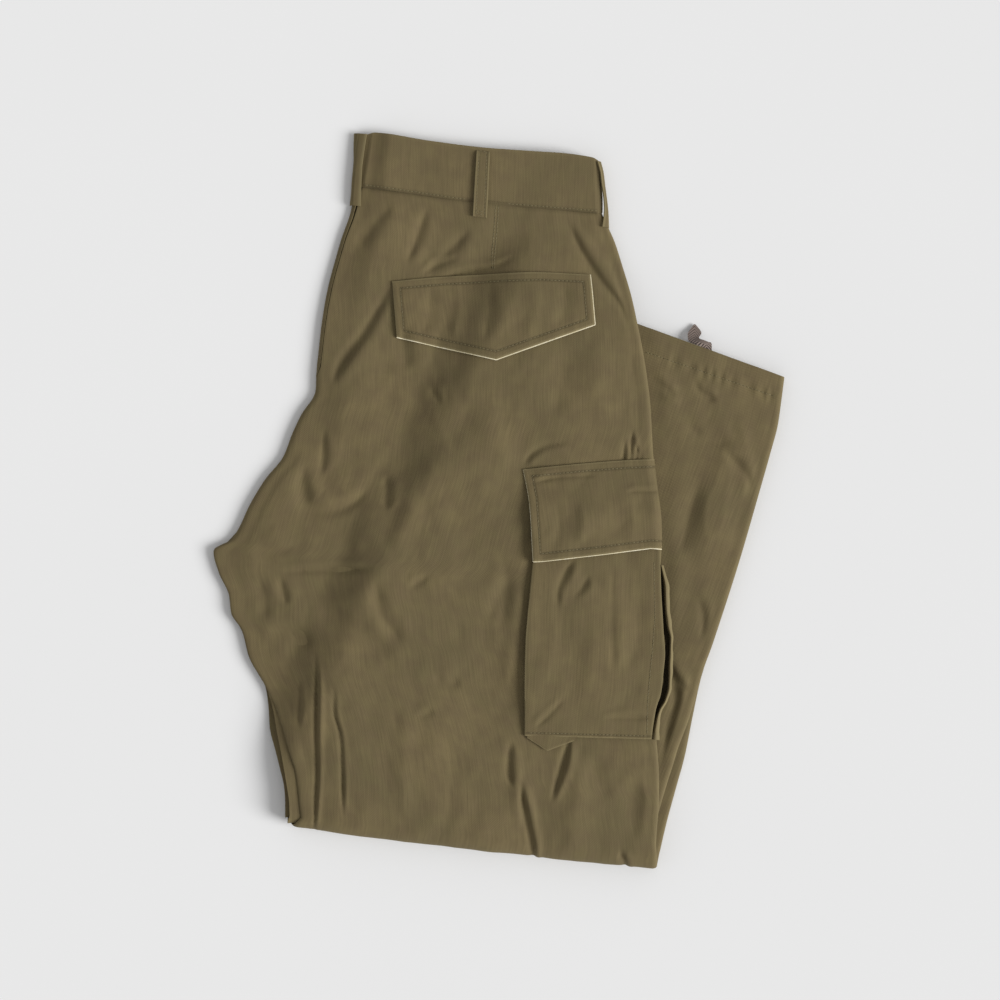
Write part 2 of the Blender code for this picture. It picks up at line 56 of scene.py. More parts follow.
WALL = 1.2  # one layer of the twill, with its seam allowances pressed flat
PILE = 11.2
STACK_GAP = 0.4
LOW_TOP = 11.5  # top of the lower leg
AXIS_Z = 11.7  # line that the pile turns round at the knee
AXIS_Y = -282.5
RAMP = 46.0
HEM_CLEAR = 6.0
WAIST_Y = 251.0
BAND_TOP_Y = 296.5
BAND_PILE = 10.0
BAND_WALL = 2.0
CENTRE_FRONT_X = -128.0
LOOP_WALL = 1.4
FLAP_WALL = 1.8
HEM_DEPTH = 22.0
FOLD_DEPTH = 1.45
FOLD_LIMIT = 3.4
LOBE = 4.5  # reach of a layer's rounded edge beyond its flat face
SEAT_LOBE = 6.5
FRONT_IN = 3.4  # the fronts' left edge lies this far inside the seat's
LOW_SHORT = 1.5  # the left leg's layers stop this far short of the right edge
FREE_RISE = 0.8  # the lower leg is this much fuller where nothing lies on it
BACK_STEP = 3  # rows and columns of a wall's face to each one of its back
FLAP_ROW = 6.4  # rows of stitches, from the edge they follow
WAIST_ROW = 1.9
BAG_ROW = 2.6

# Upper pile: y, left edge of the right back, of the fronts and of the left back, right edge,
# and leg: 0 where the centre back seam wraps the left edge, 1 where each leg has its own inseam
UPPER = (
    (254.0, -147.6, -147.6, -149.6, 57.8, 0.0),
    (251.0, -148.0, -148.0, -150.0, 59.4, 0.0),
    (228.0, -151.5, -151.5, -152.6, 73.0, 0.0),
    (206.0, -157.0, -157.0, -157.6, 82.6, 0.0),
    (186.0, -160.6, -160.6, -161.0, 90.6, 0.0),
    (166.0, -163.6, -163.6, -164.0, 97.3, 0.0),
    (146.0, -165.3, -165.3, -165.6, 103.8, 0.0),
    (127.0, -166.0, -166.0, -166.2, 109.4, 0.0),
    (92.0, -166.1, -166.1, -166.1, 117.8, 0.0),
    (76.0, -164.9, -164.9, -164.9, 120.5, 0.0),
    (54.0, -174.8, -174.8, -174.8, 124.2, 0.0),
    (37.0, -180.6, -180.6, -180.6, 128.0, 0.0),
    (18.0, -185.6, -185.6, -185.6, 132.6, 0.0),
    (-4.0, -199.2, -199.2, -199.2, 137.2, 0.0),
    (-24.0, -208.6, -208.6, -208.6, 140.0, 0.0),
    (-57.0, -221.6, -221.6, -221.6, 141.4, 0.0),
    (-68.0, -235.4, -234.6, -233.8, 142.0, 1.0),
    (-86.0, -229.1, -228.6, -228.0, 143.1, 1.0),
    (-104.0, -218.4, -218.2, -217.8, 144.8, 1.0),
    (-120.0, -214.4, -214.4, -214.0, 146.4, 1.0),
    (-132.0, -204.4, -204.6, -204.2, 147.2, 1.0),
    (-155.0, -195.0, -195.4, -195.6, 149.5, 1.0),
    (-178.0, -178.6, -178.8, -179.4, 152.6, 1.0),
    (-196.0, -167.2, -170.4, -174.6, 156.0, 1.0),
    (-213.0, -158.9, -165.2, -171.4, 159.0, 1.0),
    (-229.0, -152.0, -159.6, -164.8, 160.8, 1.0),
    (-244.0, -145.4, -154.8, -158.8, 162.0, 1.0),
    (-258.0, -141.6, -150.8, -153.6, 162.4, 1.0),
    (-270.0, -139.0, -147.6, -151.2, 163.0, 1.0),
    (AXIS_Y, -136.0, -145.6, -149.8, 165.0, 1.0),
)

# Lower leg: share of the way from the fold to the hem, right edge, and how far the left leg stops short of it
LOWER = (
    (0.00, 168.0, 9.0),
    (0.07, 171.4, 9.4),
    (0.14, 175.9, 9.0),
    (0.21, 180.4, 8.0),
    (0.29, 183.2, 3.0),
    (0.37, 186.6, 0.8),
    (0.45, 193.8, 0.5),
    (0.62, 208.0, 0.5),
    (0.77, 218.6, 0.5),
    (0.84, 223.4, 0.5),
    (0.91, 227.4, 0.5),
    (1.00, 228.2, 0.5),
)
LOWER_RUN = 440.0  # down the middle of the lower leg, which its rows are counted by
LOWER_RIGHT_Y = (AXIS_Y, 130.9)
LOWER_LEFT = ((-148.5, AXIS_Y), (30.0, 178.6))
LOWER_LENGTH = math.hypot(LOWER_LEFT[1][0] - LOWER_LEFT[0][0], LOWER_LEFT[1][1] - LOWER_LEFT[0][1])
RAMP_LINE = ((-162.0, AXIS_Y), (2.2, 185.2))

# Folds in the face of the upper pile: half width, height (a trough is below 0), height of the ridge on the
# left of the way they run, and the points they run through
UPPER_FOLDS = (
    (4.6, -2.5, 1.0, (-172, 18), (-173, 0), (-171, -10), (-167, -21), (-156, -25), (-141, -23), (-125, -14),
     (-113, 2)),
    (3.4, -1.8, 0.6, (-101, 12), (-99, 4), (-96, -18)),
    (2.8, -1.2, 0.5, (-160, 46), (-158, 28), (-157, 4)),
    (2.4, -1.0, 0.4, (-72, 90), (-66, 83), (-60, 76)),
    (6.0, -1.3, 0.8, (-100, 140), (-99, 125), (-94, 100)),
    (2.4, -1.9, 0.6, (-184, -80), (-160, -76.5), (-140, -73.5), (-120, -71), (-98, -68)),
    (3.2, -1.4, 0.5, (-180, -82), (-177, -94), (-171, -108)),
    (8.5, -2.4, 0.9, (-146, -102), (-130, -113), (-106, -124), (-74, -138)),
    (5.6, -2.0, 0.9, (-98, -74), (-95, -88), (-88, -107), (-66, -128)),
    (5.6, -1.8, 0.5, (-188, -131), (-170, -129), (-154, -135), (-146, -141)),
    (2.2, -1.1, 0.4, (-69, -81), (-60, -75), (-51, -68)),
    (1.6, -2.7, 1.4, (-144, -138), (-139, -164), (-137, -188), (-135, -212), (-131, -244), (-129, -277),
     (-128, -304)),
    (1.5, -1.6, 0.6, (-123, -164), (-121, -191), (-114, -210), (-110, -234), (-104, -280)),
    (1.7, -1.1, 0.5, (-154, -166), (-152, -186), (-151, -210)),
    (2.2, -2.6, 1.2, (83.5, -186), (82, -200), (78, -223), (73, -247)),
    (2.3, -2.7, 1.8, (45, -228), (47.6, -242), (54.5, -265), (60.5, -282), (65, -304)),
    (2.6, -1.9, 0.9, (34, -198), (33, -208), (34, -222), (38.5, -238)),
    (5.0, 1.1, 0.0, (40, -196), (43, -230), (48, -276)),
    (8.0, -1.7, 0.8, (143, -218), (145, -240), (148, -270)),
    (2.2, -2.0, 0.6, (136, -280), (140.5, -287), (145, -300)),
    (3.8, -2.3, 1.4, (-114, 172), (-124, 152), (-134.5, 130), (-150, 103), (-160, 80)),
    (2.0, -1.3, 0.6, (-92, 182), (-74, 195), (-56, 202)),
    (2.0, -1.5, 0.6, (-80, 179), (-52, 189), (-24, 198), (-8, 209)),
    (6.0, -1.3, 0.6, (-120, 243), (-137, 221), (-149, 198)),
    (12.0, 1.3, 0.0, (-118, 250), (-128, 215), (-136, 180), (-138, 140)),
    (3.0, -1.4, 1.4, (31, 248), (40, 232), (53.6, 211), (74.5, 187), (88, 174), (101, 148)),
    (6.0, -1.0, 0.8, (104, 150), (108, 120), (114, 86), (117, 60)),
    (2.1, -1.4, 0.5, (58, 56), (38, 52), (24, 43), (16, 31)),
    (1.5, -1.3, 0.5, (103, 64), (104, 40)),
    (1.5, -1.2, 0.5, (108.5, 74), (110, 41)),
    (1.4, -1.3, 0.5, (114, 62), (115, 43)),
    (1.4, -1.3, 0.5, (118, 63), (119, 44)),
    (3.4, -1.3, 0.5, (-91, 245), (-95, 228), (-100, 206), (-105, 190)),
    (4.0, -1.3, 0.6, (-50, 230), (-66, 210), (-86, 186)),
    (12.0, -2.2, 1.0, (-32, 86), (-47, 54), (-70, 34), (-94, 10)),
    (13.0, 1.4, 0.0, (-112, 150), (-119, 124), (-141, 75), (-147, 0)),
    (15.0, 1.2, 0.0, (76, 160), (72, 120), (84, 62)),
    (11.0, -1.2, 0.0, (40, 140), (44, 108), (36, 70)),
    (12.0, 1.1, 0.0, (-24, 110), (-8, 60), (2, 20)),
    (9.0, 1.2, 0.0, (-108, -2), (-112, -30), (-122, -60)),
    (7.0, -1.1, 0.5, (-84, 0), (-90, -24), (-96, -52)),
    (14.0, -1.2, 0.6, (-40, 0), (-20, -40), (10, -64)),
    (6.0, -1.2, 0.5, (6, -40), (16, -76), (14, -110)),
    (6.0, 1.0, 0.0, (24, -60), (26, -110), (24, -160)),
    (5.0, -1.0, 0.5, (20, -60), (8, -84), (2, -104)),
    (4.0, -0.9, 0.4, (-40, -150), (-28, -156), (-14, -154)),
    (2.4, -0.8, 0.3, (-52, -190), (-42, -184), (-34, -180)),
    (8.0, 0.9, 0.0, (-60, -160), (-58, -220), (-50, -280)),
    (9.0, -0.9, 0.0, (-20, -200), (-14, -240), (-16, -290)),
    (8.0, -1.0, 0.5, (104, -200), (112, -222), (124, -240)),
    (7.0, 1.0, 0.0, (92, -200), (96, -240), (92, -290)),
    (5.0, -0.9, 0.4, (-210, -60), (-190, -64), (-172, -60)),
    (5.0, -1.2, 0.5, (-200, -86), (-192, -104), (-190, -122)),
)
# The same in the top of the lower leg
LOWER_FOLDS = (
    (4.0, -2.2, 1.2, (158, -112), (165, -130), (171, -150), (167, -178), (165, -204), (166, -232)),
    (2.4, -1.3, 0.5, (160, -120), (169, -133), (184, -142)),
    (12.0, 1.7, 0.0, (178, -40), (186, 10), (192, 76)),
    (6.0, -1.4, 0.5, (170, 40), (164, 10), (160, -30)),
    (2.6, -1.5, 0.8, (110, 126), (119, 116), (140, 104)),
    (2.4, -1.2, 0.7, (152, 119), (162, 109), (176, 104)),
    (5.0, 0.9, 0.0, (112, 124), (128, 110), (146, 95)),
    (3.2, -1.3, 0.8, (184, 64), (203, 50), (220, 32)),
    (7.0, 1.1, 0.0, (196, 96), (206, 60), (208, 20)),
    (4.0, -1.1, 0.5, (150, 84), (168, 72), (196, 70)),
    (3.0, -1.0, 0.4, (178, -60), (186, -78), (188, -100)),
)

# Right back pocket flap and right cargo flap: their four edges
BACK_FLAP_TOP = ((-110.3, 174.3), (-65.7, 183.4), (-25.2, 189.6), (14.2, 194.9), (54.7, 197.7))
BACK_FLAP_LOW = ((-101.2, 128.2), (-15.7, 118.0), (63.2, 156.3))
CARGO_FLAP_TOP = ((17.2, 29.0), (65.0, 39.2), (103.1, 46.4), (125.6, 49.9))
CARGO_FLAP_LOW = ((33.9, -46.8), (43.0, -45.3), (92.4, -33.9), (130.5, -24.6), (139.8, -24.3))
CARGO_FLAP_LEFT = ((17.2, 29.0), (24.7, 4.5), (33.9, -46.8))
CARGO_FLAP_RIGHT = ((125.6, 49.9), (130.6, 27.0), (137.1, -1.5), (139.8, -24.3))
# Right cargo bag: left x, y, right x, y, height off the panel; and the seam down its right: y, x
CARGO_BAG = (
    (33.0, -30.0, 136.6, -9.0, 1.0),
    (34.0, -46.0, 138.4, -27.0, 2.6),
    (34.2, -72.0, 142.4, -57.0, 4.0),
    (34.8, -106.0, 148.8, -95.0, 4.8),
    (36.2, -126.0, 152.0, -116.0, 5.2),
    (38.4, -150.0, 152.2, -140.0, 5.0),
    (40.8, -170.0, 149.2, -160.0, 4.2),
    (42.4, -184.0, 148.6, -176.0, 2.8),
    (43.2, -192.6, 149.2, -183.8, 1.6),
)
BAG_SEAM = ((-30.0, 133.8), (-84.0, 140.6), (-113.0, 141.4), (-150.0, 142.0), (-184.0, 145.4))
# Its folded bellows: y, x of the inner fold and of the lip, height of the lip
GUSSET = (
    (-36.0, 139.6, 142.6, 19.0),
    (-54.0, 145.0, 149.3, 21.4),
    (-71.0, 147.6, 152.4, 22.6),
    (-88.0, 151.4, 155.4, 23.2),
    (-98.0, 155.0, 158.0, 23.4),
    (-122.0, 156.6, 160.0, 23.4),
    (-139.0, 158.0, 161.4, 23.2),
    (-150.0, 156.4, 159.0, 22.8),
    (-159.0, 152.6, 155.4, 22.2),
    (-168.0, 150.8, 155.0, 21.8),
    (-184.0, 149.4, 155.6, 21.0),
)
# Folds in the bag and the flaps, as above
BAG_FOLDS = (
    (2.6, -1.2, 0.8, (69, -38), (61, -56), (57, -70), (59, -84)),
    (3.0, -0.6, 0.4, (99, -36), (104, -80), (111, -136)),
    (2.0, -0.9, 0.4, (104, -171), (124, -168), (148, -166)),
    (2.4, -1.0, 0.5, (82, -52), (76, -66), (70, -72)),
    (2.0, -0.9, 0.4, (50, -186), (62, -172), (72, -158)),
    (5.0, 0.5, 0.0, (50, -70), (58, -110), (54, -150)),
    (6.0, 0.5, 0.0, (88, -70), (92, -120), (88, -170)),
    (5.0, -0.4, 0.2, (124, -60), (128, -96), (122, -130)),
)
CARGO_FLAP_FOLDS = (
    (2.0, -1.0, 0.5, (22, 17), (44, 25), (80, 31)),
    (1.8, -0.9, 0.4, (104, 20), (118, 22), (134, 24)),
    (5.0, 0.8, 0.0, (66, 10), (72, -12), (70, -30)),
    (5.0, -0.7, 0.0, (46, 8), (52, -14), (50, -34)),
    (6.0, 0.7, 0.0, (110, 12), (114, -10), (112, -28)),
)
BACK_FLAP_FOLDS = (
    (5.0, -0.8, 0.5, (-78, 176), (-76, 150), (-80, 130)),
    (5.0, 0.8, 0.0, (-56, 182), (-52, 156), (-54, 130)),
    (4.0, -0.7, 0.4, (-30, 186), (-26, 160), (-28, 128)),
    (6.0, 0.7, 0.0, (10, 190), (12, 164), (8, 136)),
    (5.0, -0.6, 0.3, (34, 190), (36, 170), (32, 148)),
)
# Top edge of the waistband and the waist seam: x, y
BAND_TOP = ((-150.0, 295.2), (-146.2, 295.9), (-138.4, 298.2), (-92.6, 296.0), (-52.3, 295.2), (-8.7, 296.8),
            (24.6, 298.2), (44.9, 297.4), (54.0, 294.0))
BAND_SEAM = ((-152.0, 251.4), (-141.6, 251.2), (-96.0, 249.7), (-50.5, 248.3), (13.2, 249.7), (60.0, 251.2))
# Drawcord tape, out of the hem's mouth: x, y, z of its left edge and of its right
TAPE_EDGES = (
    (160.5, 112.0, 8.7, 169.5, 112.0, 8.7),
    (159.0, 130.0, 8.8, 168.0, 130.0, 8.8),
    (157.0, 140.0, 8.9, 165.8, 140.0, 8.9),
    (155.6, 146.4, 8.9, 164.3, 145.8, 8.9),
    (155.2, 148.3, 9.2, 163.6, 152.0, 9.2),
    (154.7, 148.5, 10.0, 163.0, 152.9, 10.0),
    (154.0, 149.1, 10.9, 161.6, 153.2, 10.7),
    (151.2, 150.0, 10.8, 156.9, 154.6, 10.2),
    (147.6, 151.2, 9.4, 152.9, 155.6, 8.4),
    (144.0, 153.0, 7.2, 152.4, 157.2, 6.4),
    (142.8, 158.8, 4.6, 154.3, 160.8, 4.0),
    (144.7, 163.2, 3.0, 151.9, 164.4, 2.8),
    (147.2, 167.6, 2.0, 148.3, 167.8, 2.0),
)


def smooth(t):
    t = np.clip(t, 0.0, 1.0)
    return t * t * (3 - 2 * t)


def mix(a, b, t):
    return a + (b - a) * t


def bell(away, width):
    return np.exp(-((away / width) ** 2))


def through(xs, ys, at):
    """A smooth curve through points that never swings past them."""
    xs, ys = np.asarray(xs, float), np.asarray(ys, float)
    if xs[0] > xs[-1]:
        xs, ys = xs[::-1], ys[::-1]
    step = np.diff(xs)
    slope = np.diff(ys) / step
    tangent = np.zeros(len(xs))
    tangent[0], tangent[-1] = slope[0], slope[-1]
    before, after = slope[:-1], slope[1:]
    same = before * after > 1e-12
    far, near = 2 * step[1:] + step[:-1], step[1:] + 2 * step[:-1]
    safe_before = np.where(same, before, 1.0)
    safe_after = np.where(same, after, 1.0)
    tangent[1:-1] = np.where(same, (far + near) / (far / safe_before + near / safe_after), 0.0)
    at = np.clip(np.asarray(at, float), xs[0], xs[-1])
    i = np.clip(np.searchsorted(xs, at) - 1, 0, len(step) - 1)
    h = step[i]
    t = (at - xs[i]) / h
    rise = ys[i] * (1 + 2 * t) * (1 - t) ** 2 + ys[i + 1] * t * t * (3 - 2 * t)
    return rise + h * (tangent[i] * t * (1 - t) ** 2 - tangent[i + 1] * t * t * (1 - t))


UPPER_Y = [row[0] for row in UPPER]
LOWER_SHARE = [row[0] for row in LOWER]


def upper_edge(column, y):
    return through(UPPER_Y, [row[column] for row in UPPER], y)


def lower_line(share):
    """Left and right ends of one row across the lower leg."""
    right = float(through(LOWER_SHARE, [row[1] for row in LOWER], share))
    (x0, y0), (x1, y1) = LOWER_LEFT
    left_end = np.array([mix(x0, x1, share), mix(y0, y1, share)])
    right_end = np.array([right, mix(LOWER_RIGHT_Y[0], LOWER_RIGHT_Y[1], share)])
    return left_end, right_end


def lift(x, y):
    """Height of the upper pile's underside: on the lower leg, or on the surface beyond it."""
    (x0, y0), (x1, y1) = RAMP_LINE
    length = math.hypot(x1 - x0, y1 - y0)
    beside = ((x0 - x) * (y1 - y0) - (y0 - y) * (x1 - x0)) / length
    hem_left, hem_right = lower_line(1.0)
    hem = hem_right - hem_left
    beyond = ((y - hem_left[1]) * hem[0] - (x - hem_left[0]) * hem[1]) / math.hypot(*hem)
    away = np.hypot(np.maximum(beside, 0.0), np.maximum(beyond - HEM_CLEAR, 0.0))
    return (AXIS_Z + STACK_GAP / 2) * (1 - smooth(away / RAMP))


def upper_thickness(x, y):
    """The pile is full at the seat and thigh, and thins towards its folded edges, most of all the left."""
    from_left, from_right = x - upper_edge(1, y), upper_edge(4, y) - x
    at_edge = (1.6 + 1.3 * smooth((y - 120) / 80)) * (1 - smooth(from_left / 36))
    return PILE + 0.3 - 2.6 * (1 - smooth(from_left / 95)) - at_edge - 1.6 * (1 - smooth(from_right / 60))


def held_on_leg(x, y):
    """Keeps x on the upper pile, short of its right edge."""
    return np.minimum(x, upper_edge(4, y) - 6)


def beside_upper(x, y):
    """0 where the lower leg is pressed flat under the upper pile, 1 where it is free."""
    return smooth((x - upper_edge(4, np.maximum(y, AXIS_Y)) - 3) / 13)


def run_along(points):
    """Distance along a line at each of its points."""
    return np.concatenate([[0], np.cumsum(np.linalg.norm(np.diff(points, axis=0), axis=1))])


def along_line(points, count, corners=True):
    """Points evenly along a line: straight between its points, or one smooth curve through them."""
    points = np.array(points, float)
    run = run_along(points)
    at = np.linspace(0, run[-1], count)
    if corners:
        return np.column_stack([np.interp(at, run, column) for column in points.T])
    return np.column_stack([through(run, column, at) for column in points.T])


def nearest(path, x, y):
    """Signed distance to a line, above 0 on the left of the way it runs, and share of the way along it."""
    best = np.full(x.shape, 1e9)
    side = np.zeros(x.shape)
    along = np.zeros(x.shape)
    for k, (a, b) in enumerate(zip(path, path[1:])):
        run = b - a
        t = np.clip(((x - a[0]) * run[0] + (y - a[1]) * run[1]) / (run @ run), 0, 1)
        dx, dy = x - a[0] - t * run[0], y - a[1] - t * run[1]
        away = np.hypot(dx, dy)
        closer = away < best
        best = np.where(closer, away, best)
        side = np.where(closer, np.sign(run[0] * dy - run[1] * dx) * away, side)
        along = np.where(closer, (k + t) / (len(path) - 1), along)
    return side, along


def folds(table, x, y):
    """Height of all the folds of one table. Each is narrower towards its ends, and fades out unevenly."""
    total = np.zeros(x.shape)
    for number, (width, height, ridge, *points) in enumerate(table):
        path = along_line(points, 6 * (len(points) - 1) + 1, corners=False)
        reach = 8 * width
        near = (x > path[:, 0].min() - reach) & (x < path[:, 0].max() + reach)
        near &= (y > path[:, 1].min() - reach) & (y < path[:, 1].max() + reach)
        if not near.any():
            continue
        side, along = nearest(path, x[near], y[near])
        fade = smooth(along / 0.3) * smooth((1 - along) / 0.24)
        uneven = 1 + 0.22 * np.sin(7 * along + 1.7 * number)
        wide = width * (0.7 + 0.5 * np.sin(math.pi * np.clip(along, 0, 1)) * uneven)
        trough = height * np.exp(-(np.abs(side / wide) ** 1.6))
        crest = ridge * bell(side - 2.1 * wide, 1.4 * wide)
        total[near] += fade * uneven * (trough + crest)
    return FOLD_DEPTH * total


def swell(x, y, seed, size, grain):
    """Soft unevenness of cloth that has been pressed and handled, mostly running down the leg."""
    rng = np.random.default_rng(seed)
    bent = y + 9 * np.sin(x / 37 + seed) + 6 * np.sin(x / 17 + 2 * seed)
    shifted = x + 8 * np.sin(y / 43 + seed) + 5 * np.sin(y / 23 + 1.3 * seed)
    total = np.zeros(np.shape(x))
    for _ in range(14):
        wave = grain * rng.uniform(0.6, 1.9)
        turn = rng.normal(0.12, 0.5)
        phase = rng.uniform(0, 2 * math.pi)
        at = shifted * math.cos(turn) + bent * math.sin(turn)
        total += np.sin(2 * math.pi * at / wave + phase) * wave
    return size * total / (grain * math.sqrt(14))


def to_world(points):
    """Garment plan in millimetres to the frame in metres."""
    points = np.asarray(points, float) * MM
    c, s = math.cos(TILT), math.sin(TILT)
    x, y, z = points[..., 0], points[..., 1], points[..., 2]
    return np.stack([c * x - s * y + PLACE[0], s * x + c * y + PLACE[1], z], axis=-1)


def linear(colour):
    """sRGB hex to linear RGBA."""
    parts = [int(colour[i : i + 2], 16) / 255 for i in (1, 3, 5)]
    return [p / 12.92 if p <= 0.04045 else ((p + 0.055) / 1.055) ** 2.4 for p in parts] + [1.0]


def add_node(tree, kind, inputs=None, out=0, **settings):
    """Adds a node with its settings and links, and gives back one of its outputs."""
    made = tree.nodes.new(kind)
    for key, value in settings.items():
        setattr(made, key, value)
    for key, value in (inputs or {}).items():
        if isinstance(value, bpy.types.NodeSocket):
            tree.links.new(value, made.inputs[key])
        else:
            made.inputs[key].default_value = value
    return made.outputs[out]


def new_material(name, **sockets):
    made = bpy.data.materials.new(name)
    made.use_nodes = True
    shader = made.node_tree.nodes["Principled BSDF"]
    for key, value in sockets.items():
        shader.inputs[key.replace("_", " ")].default_value = value
    return made, made.node_tree, shader


def cotton_twill():
    """Garment-dyed cotton twill: matt, a shade paler on rubbed edges, darkened with painted shade in seams
    and stitch rows, with slubs down the warp.
    """
    made, tree, shader = new_material(
        "garment-dyed cotton twill",
        Roughness=0.86,
        Metallic=0.0,
        Specular_IOR_Level=0.22,
        Sheen_Weight=0.10,
        Sheen_Roughness=0.5,
        Sheen_Tint=linear("#cbbf98"),
    )
    cloth = add_node(tree, "ShaderNodeUVMap", uv_map="cloth")
    # uneven dye in patches 70 mm and 14 mm across
    broad = add_node(tree, "ShaderNodeTexNoise", {"Vector": cloth, "Scale": 14.0, "Detail": 3.0})
    small = add_node(tree, "ShaderNodeTexNoise", {"Vector": cloth, "Scale": 70.0, "Detail": 7.0})
    # slubs: thicker warp threads, 1.3 mm apart and 30 mm long
    down = add_node(tree, "ShaderNodeMapping", {"Vector": cloth, "Scale": (760.0, 33.0, 1.0)})
    slub = add_node(tree, "ShaderNodeTexNoise", {"Vector": down, "Scale": 1.0, "Detail": 3.0})
    # the real twill line is 0.5 mm; drawn at 1.3 mm, or it would not show at all
    turned = add_node(tree, "ShaderNodeMapping", {"Vector": cloth, "Rotation": (0, 0, math.radians(58))})
    wales = {"Vector": turned, "Scale": 241.0, "Distortion": 0.8, "Detail": 2.0}
    twill = add_node(tree, "ShaderNodeTexWave", wales, out="Fac")
    fibre = add_node(tree, "ShaderNodeTexNoise", {"Vector": cloth, "Scale": 1900.0, "Detail": 2.0})
    tone = add_node(tree, "ShaderNodeValToRGB", {"Fac": broad})
    first, last = tone.node.color_ramp.elements
    first.position, last.position = 0.32, 0.68
    first.color, last.color = linear("#665c3f"), linear("#726546")
    limits = {"Value": small, "From Min": 0.3, "From Max": 0.7, "To Max": 0.6}
    spot = add_node(tree, "ShaderNodeMapRange", limits)
    shade = add_node(tree, "ShaderNodeMixRGB", {"Fac": spot, "Color1": tone, "Color2": linear("#63553e")})
    limits = {"Value": slub, "From Min": 0.25, "From Max": 0.75, "To Min": 0.88, "To Max": 1.11}
    warp = add_node(tree, "ShaderNodeMapRange", limits)
    line = add_node(tree, "ShaderNodeMapRange", {"Value": twill, "To Min": 0.955, "To Max": 1.045})
    weave = add_node(tree, "ShaderNodeMath", {0: warp, 1: line}, operation="MULTIPLY")
    woven = add_node(tree, "ShaderNodeVectorMath", {0: shade, 3: weave}, operation="SCALE")
    wear_and_shade_fac = add_node(tree, "ShaderNodeAttribute", out="Fac", attribute_name="wear_and_shade")
    rubbed = add_node(tree, "ShaderNodeMath", {0: wear_and_shade_fac, 1: 0.42}, operation="MULTIPLY", use_clamp=True)
    pale = add_node(tree, "ShaderNodeMixRGB", {"Fac": rubbed, "Color1": woven, "Color2": linear("#968a66")})
    # below 0 the attribute is painted shade, down in seams, along stitch rows and in the slits beside the
    # bellows
    painted_shade = add_node(tree, "ShaderNodeMath", {0: wear_and_shade_fac, 1: -0.8}, operation="MULTIPLY", use_clamp=True)
    colour = add_node(tree, "ShaderNodeMixRGB", {"Fac": painted_shade, "Color1": pale, "Color2": linear("#30291a")})
    tree.links.new(colour, shader.inputs["Base Color"])
    height = 0.0
    for threads, share in ((slub, 0.8), (twill, 0.5), (fibre, 0.5)):
        height = add_node(tree, "ShaderNodeMath", {0: threads, 1: share, 2: height}, operation="MULTIPLY_ADD")
    bump = add_node(tree, "ShaderNodeBump", {"Height": height, "Strength": 0.5, "Distance": 0.0003})
    tree.links.new(bump, shader.inputs["Normal"])
    return made


def sewing_thread():
    """Polyester core thread, dyed to match: a shade paler than the cloth, slightly shiny, twisted."""
    made, tree, shader = new_material("dyed polyester sewing thread", Roughness=0.6, Metallic=0.0)
    place = add_node(tree, "ShaderNodeTexCoord", out="Object")
    twist = add_node(tree, "ShaderNodeTexNoise", {"Vector": place, "Scale": 900.0, "Detail": 1.0})
    dyes = {"Fac": twist, "Color1": linear("#4f462d"), "Color2": linear("#857a56")}
    tree.links.new(add_node(tree, "ShaderNodeMixRGB", dyes), shader.inputs["Base Color"])
    bump = add_node(tree, "ShaderNodeBump", {"Height": twist, "Strength": 0.3, "Distance": 0.0001})
    tree.links.new(bump, shader.inputs["Normal"])
    return made


def unbleached_lining():
    """Unbleached cotton pocketing: pale cream, matt, plain weave."""
    made, tree, shader = new_material("unbleached cotton pocketing", Roughness=0.9, Metallic=0.0)
    place = add_node(tree, "ShaderNodeTexCoord", out="Object")
    weave = add_node(tree, "ShaderNodeTexNoise", {"Vector": place, "Scale": 700.0, "Detail": 2.0})
    cloud = add_node(tree, "ShaderNodeTexNoise", {"Vector": place, "Scale": 60.0, "Detail": 2.0})
    both = add_node(tree, "ShaderNodeMath", {0: weave, 1: cloud}, operation="MULTIPLY")
    spread = add_node(tree, "ShaderNodeMapRange", {"Value": both, "From Min": 0.12, "From Max": 0.4})
    creams = {"Fac": spread, "Color1": linear("#cfc39c"), "Color2": linear("#f2ead0")}
    tree.links.new(add_node(tree, "ShaderNodeMixRGB", creams), shader.inputs["Base Color"])
    bump = add_node(tree, "ShaderNodeBump", {"Height": weave, "Strength": 0.3, "Distance": 0.0001})
    tree.links.new(bump, shader.inputs["Normal"])
    return made


def woven_tape():
    """Herringbone cotton tape: dark brown-grey, with ribs slanting both ways from its middle."""
    made, tree, shader = new_material("herringbone cotton tape", Roughness=0.8, Metallic=0.0)
    cloth = add_node(tree, "ShaderNodeUVMap", uv_map="cloth")
    across = add_node(tree, "ShaderNodeSeparateXYZ", {"Vector": cloth})
    along = across.node.outputs["Y"]
    from_middle = add_node(tree, "ShaderNodeMath", {0: across}, operation="ABSOLUTE")
    # ribs 2.5 mm apart, on a slant
    slant = add_node(tree, "ShaderNodeMath", {0: from_middle, 1: along}, operation="ADD")
    wave = add_node(tree, "ShaderNodeMath", {0: slant, 1: 2500.0}, operation="MULTIPLY")
    rib = add_node(tree, "ShaderNodeMath", {0: wave}, operation="SINE")
    spread = add_node(tree, "ShaderNodeMapRange", {"Value": rib, "From Min": -1.0, "From Max": 1.0})
    browns = {"Fac": spread, "Color1": linear("#2a211f"), "Color2": linear("#9b8a80")}
    tree.links.new(add_node(tree, "ShaderNodeMixRGB", browns), shader.inputs["Base Color"])
    bump = add_node(tree, "ShaderNodeBump", {"Height": spread, "Strength": 0.5, "Distance": 0.0003})
    tree.links.new(bump, shader.inputs["Normal"])
    return made


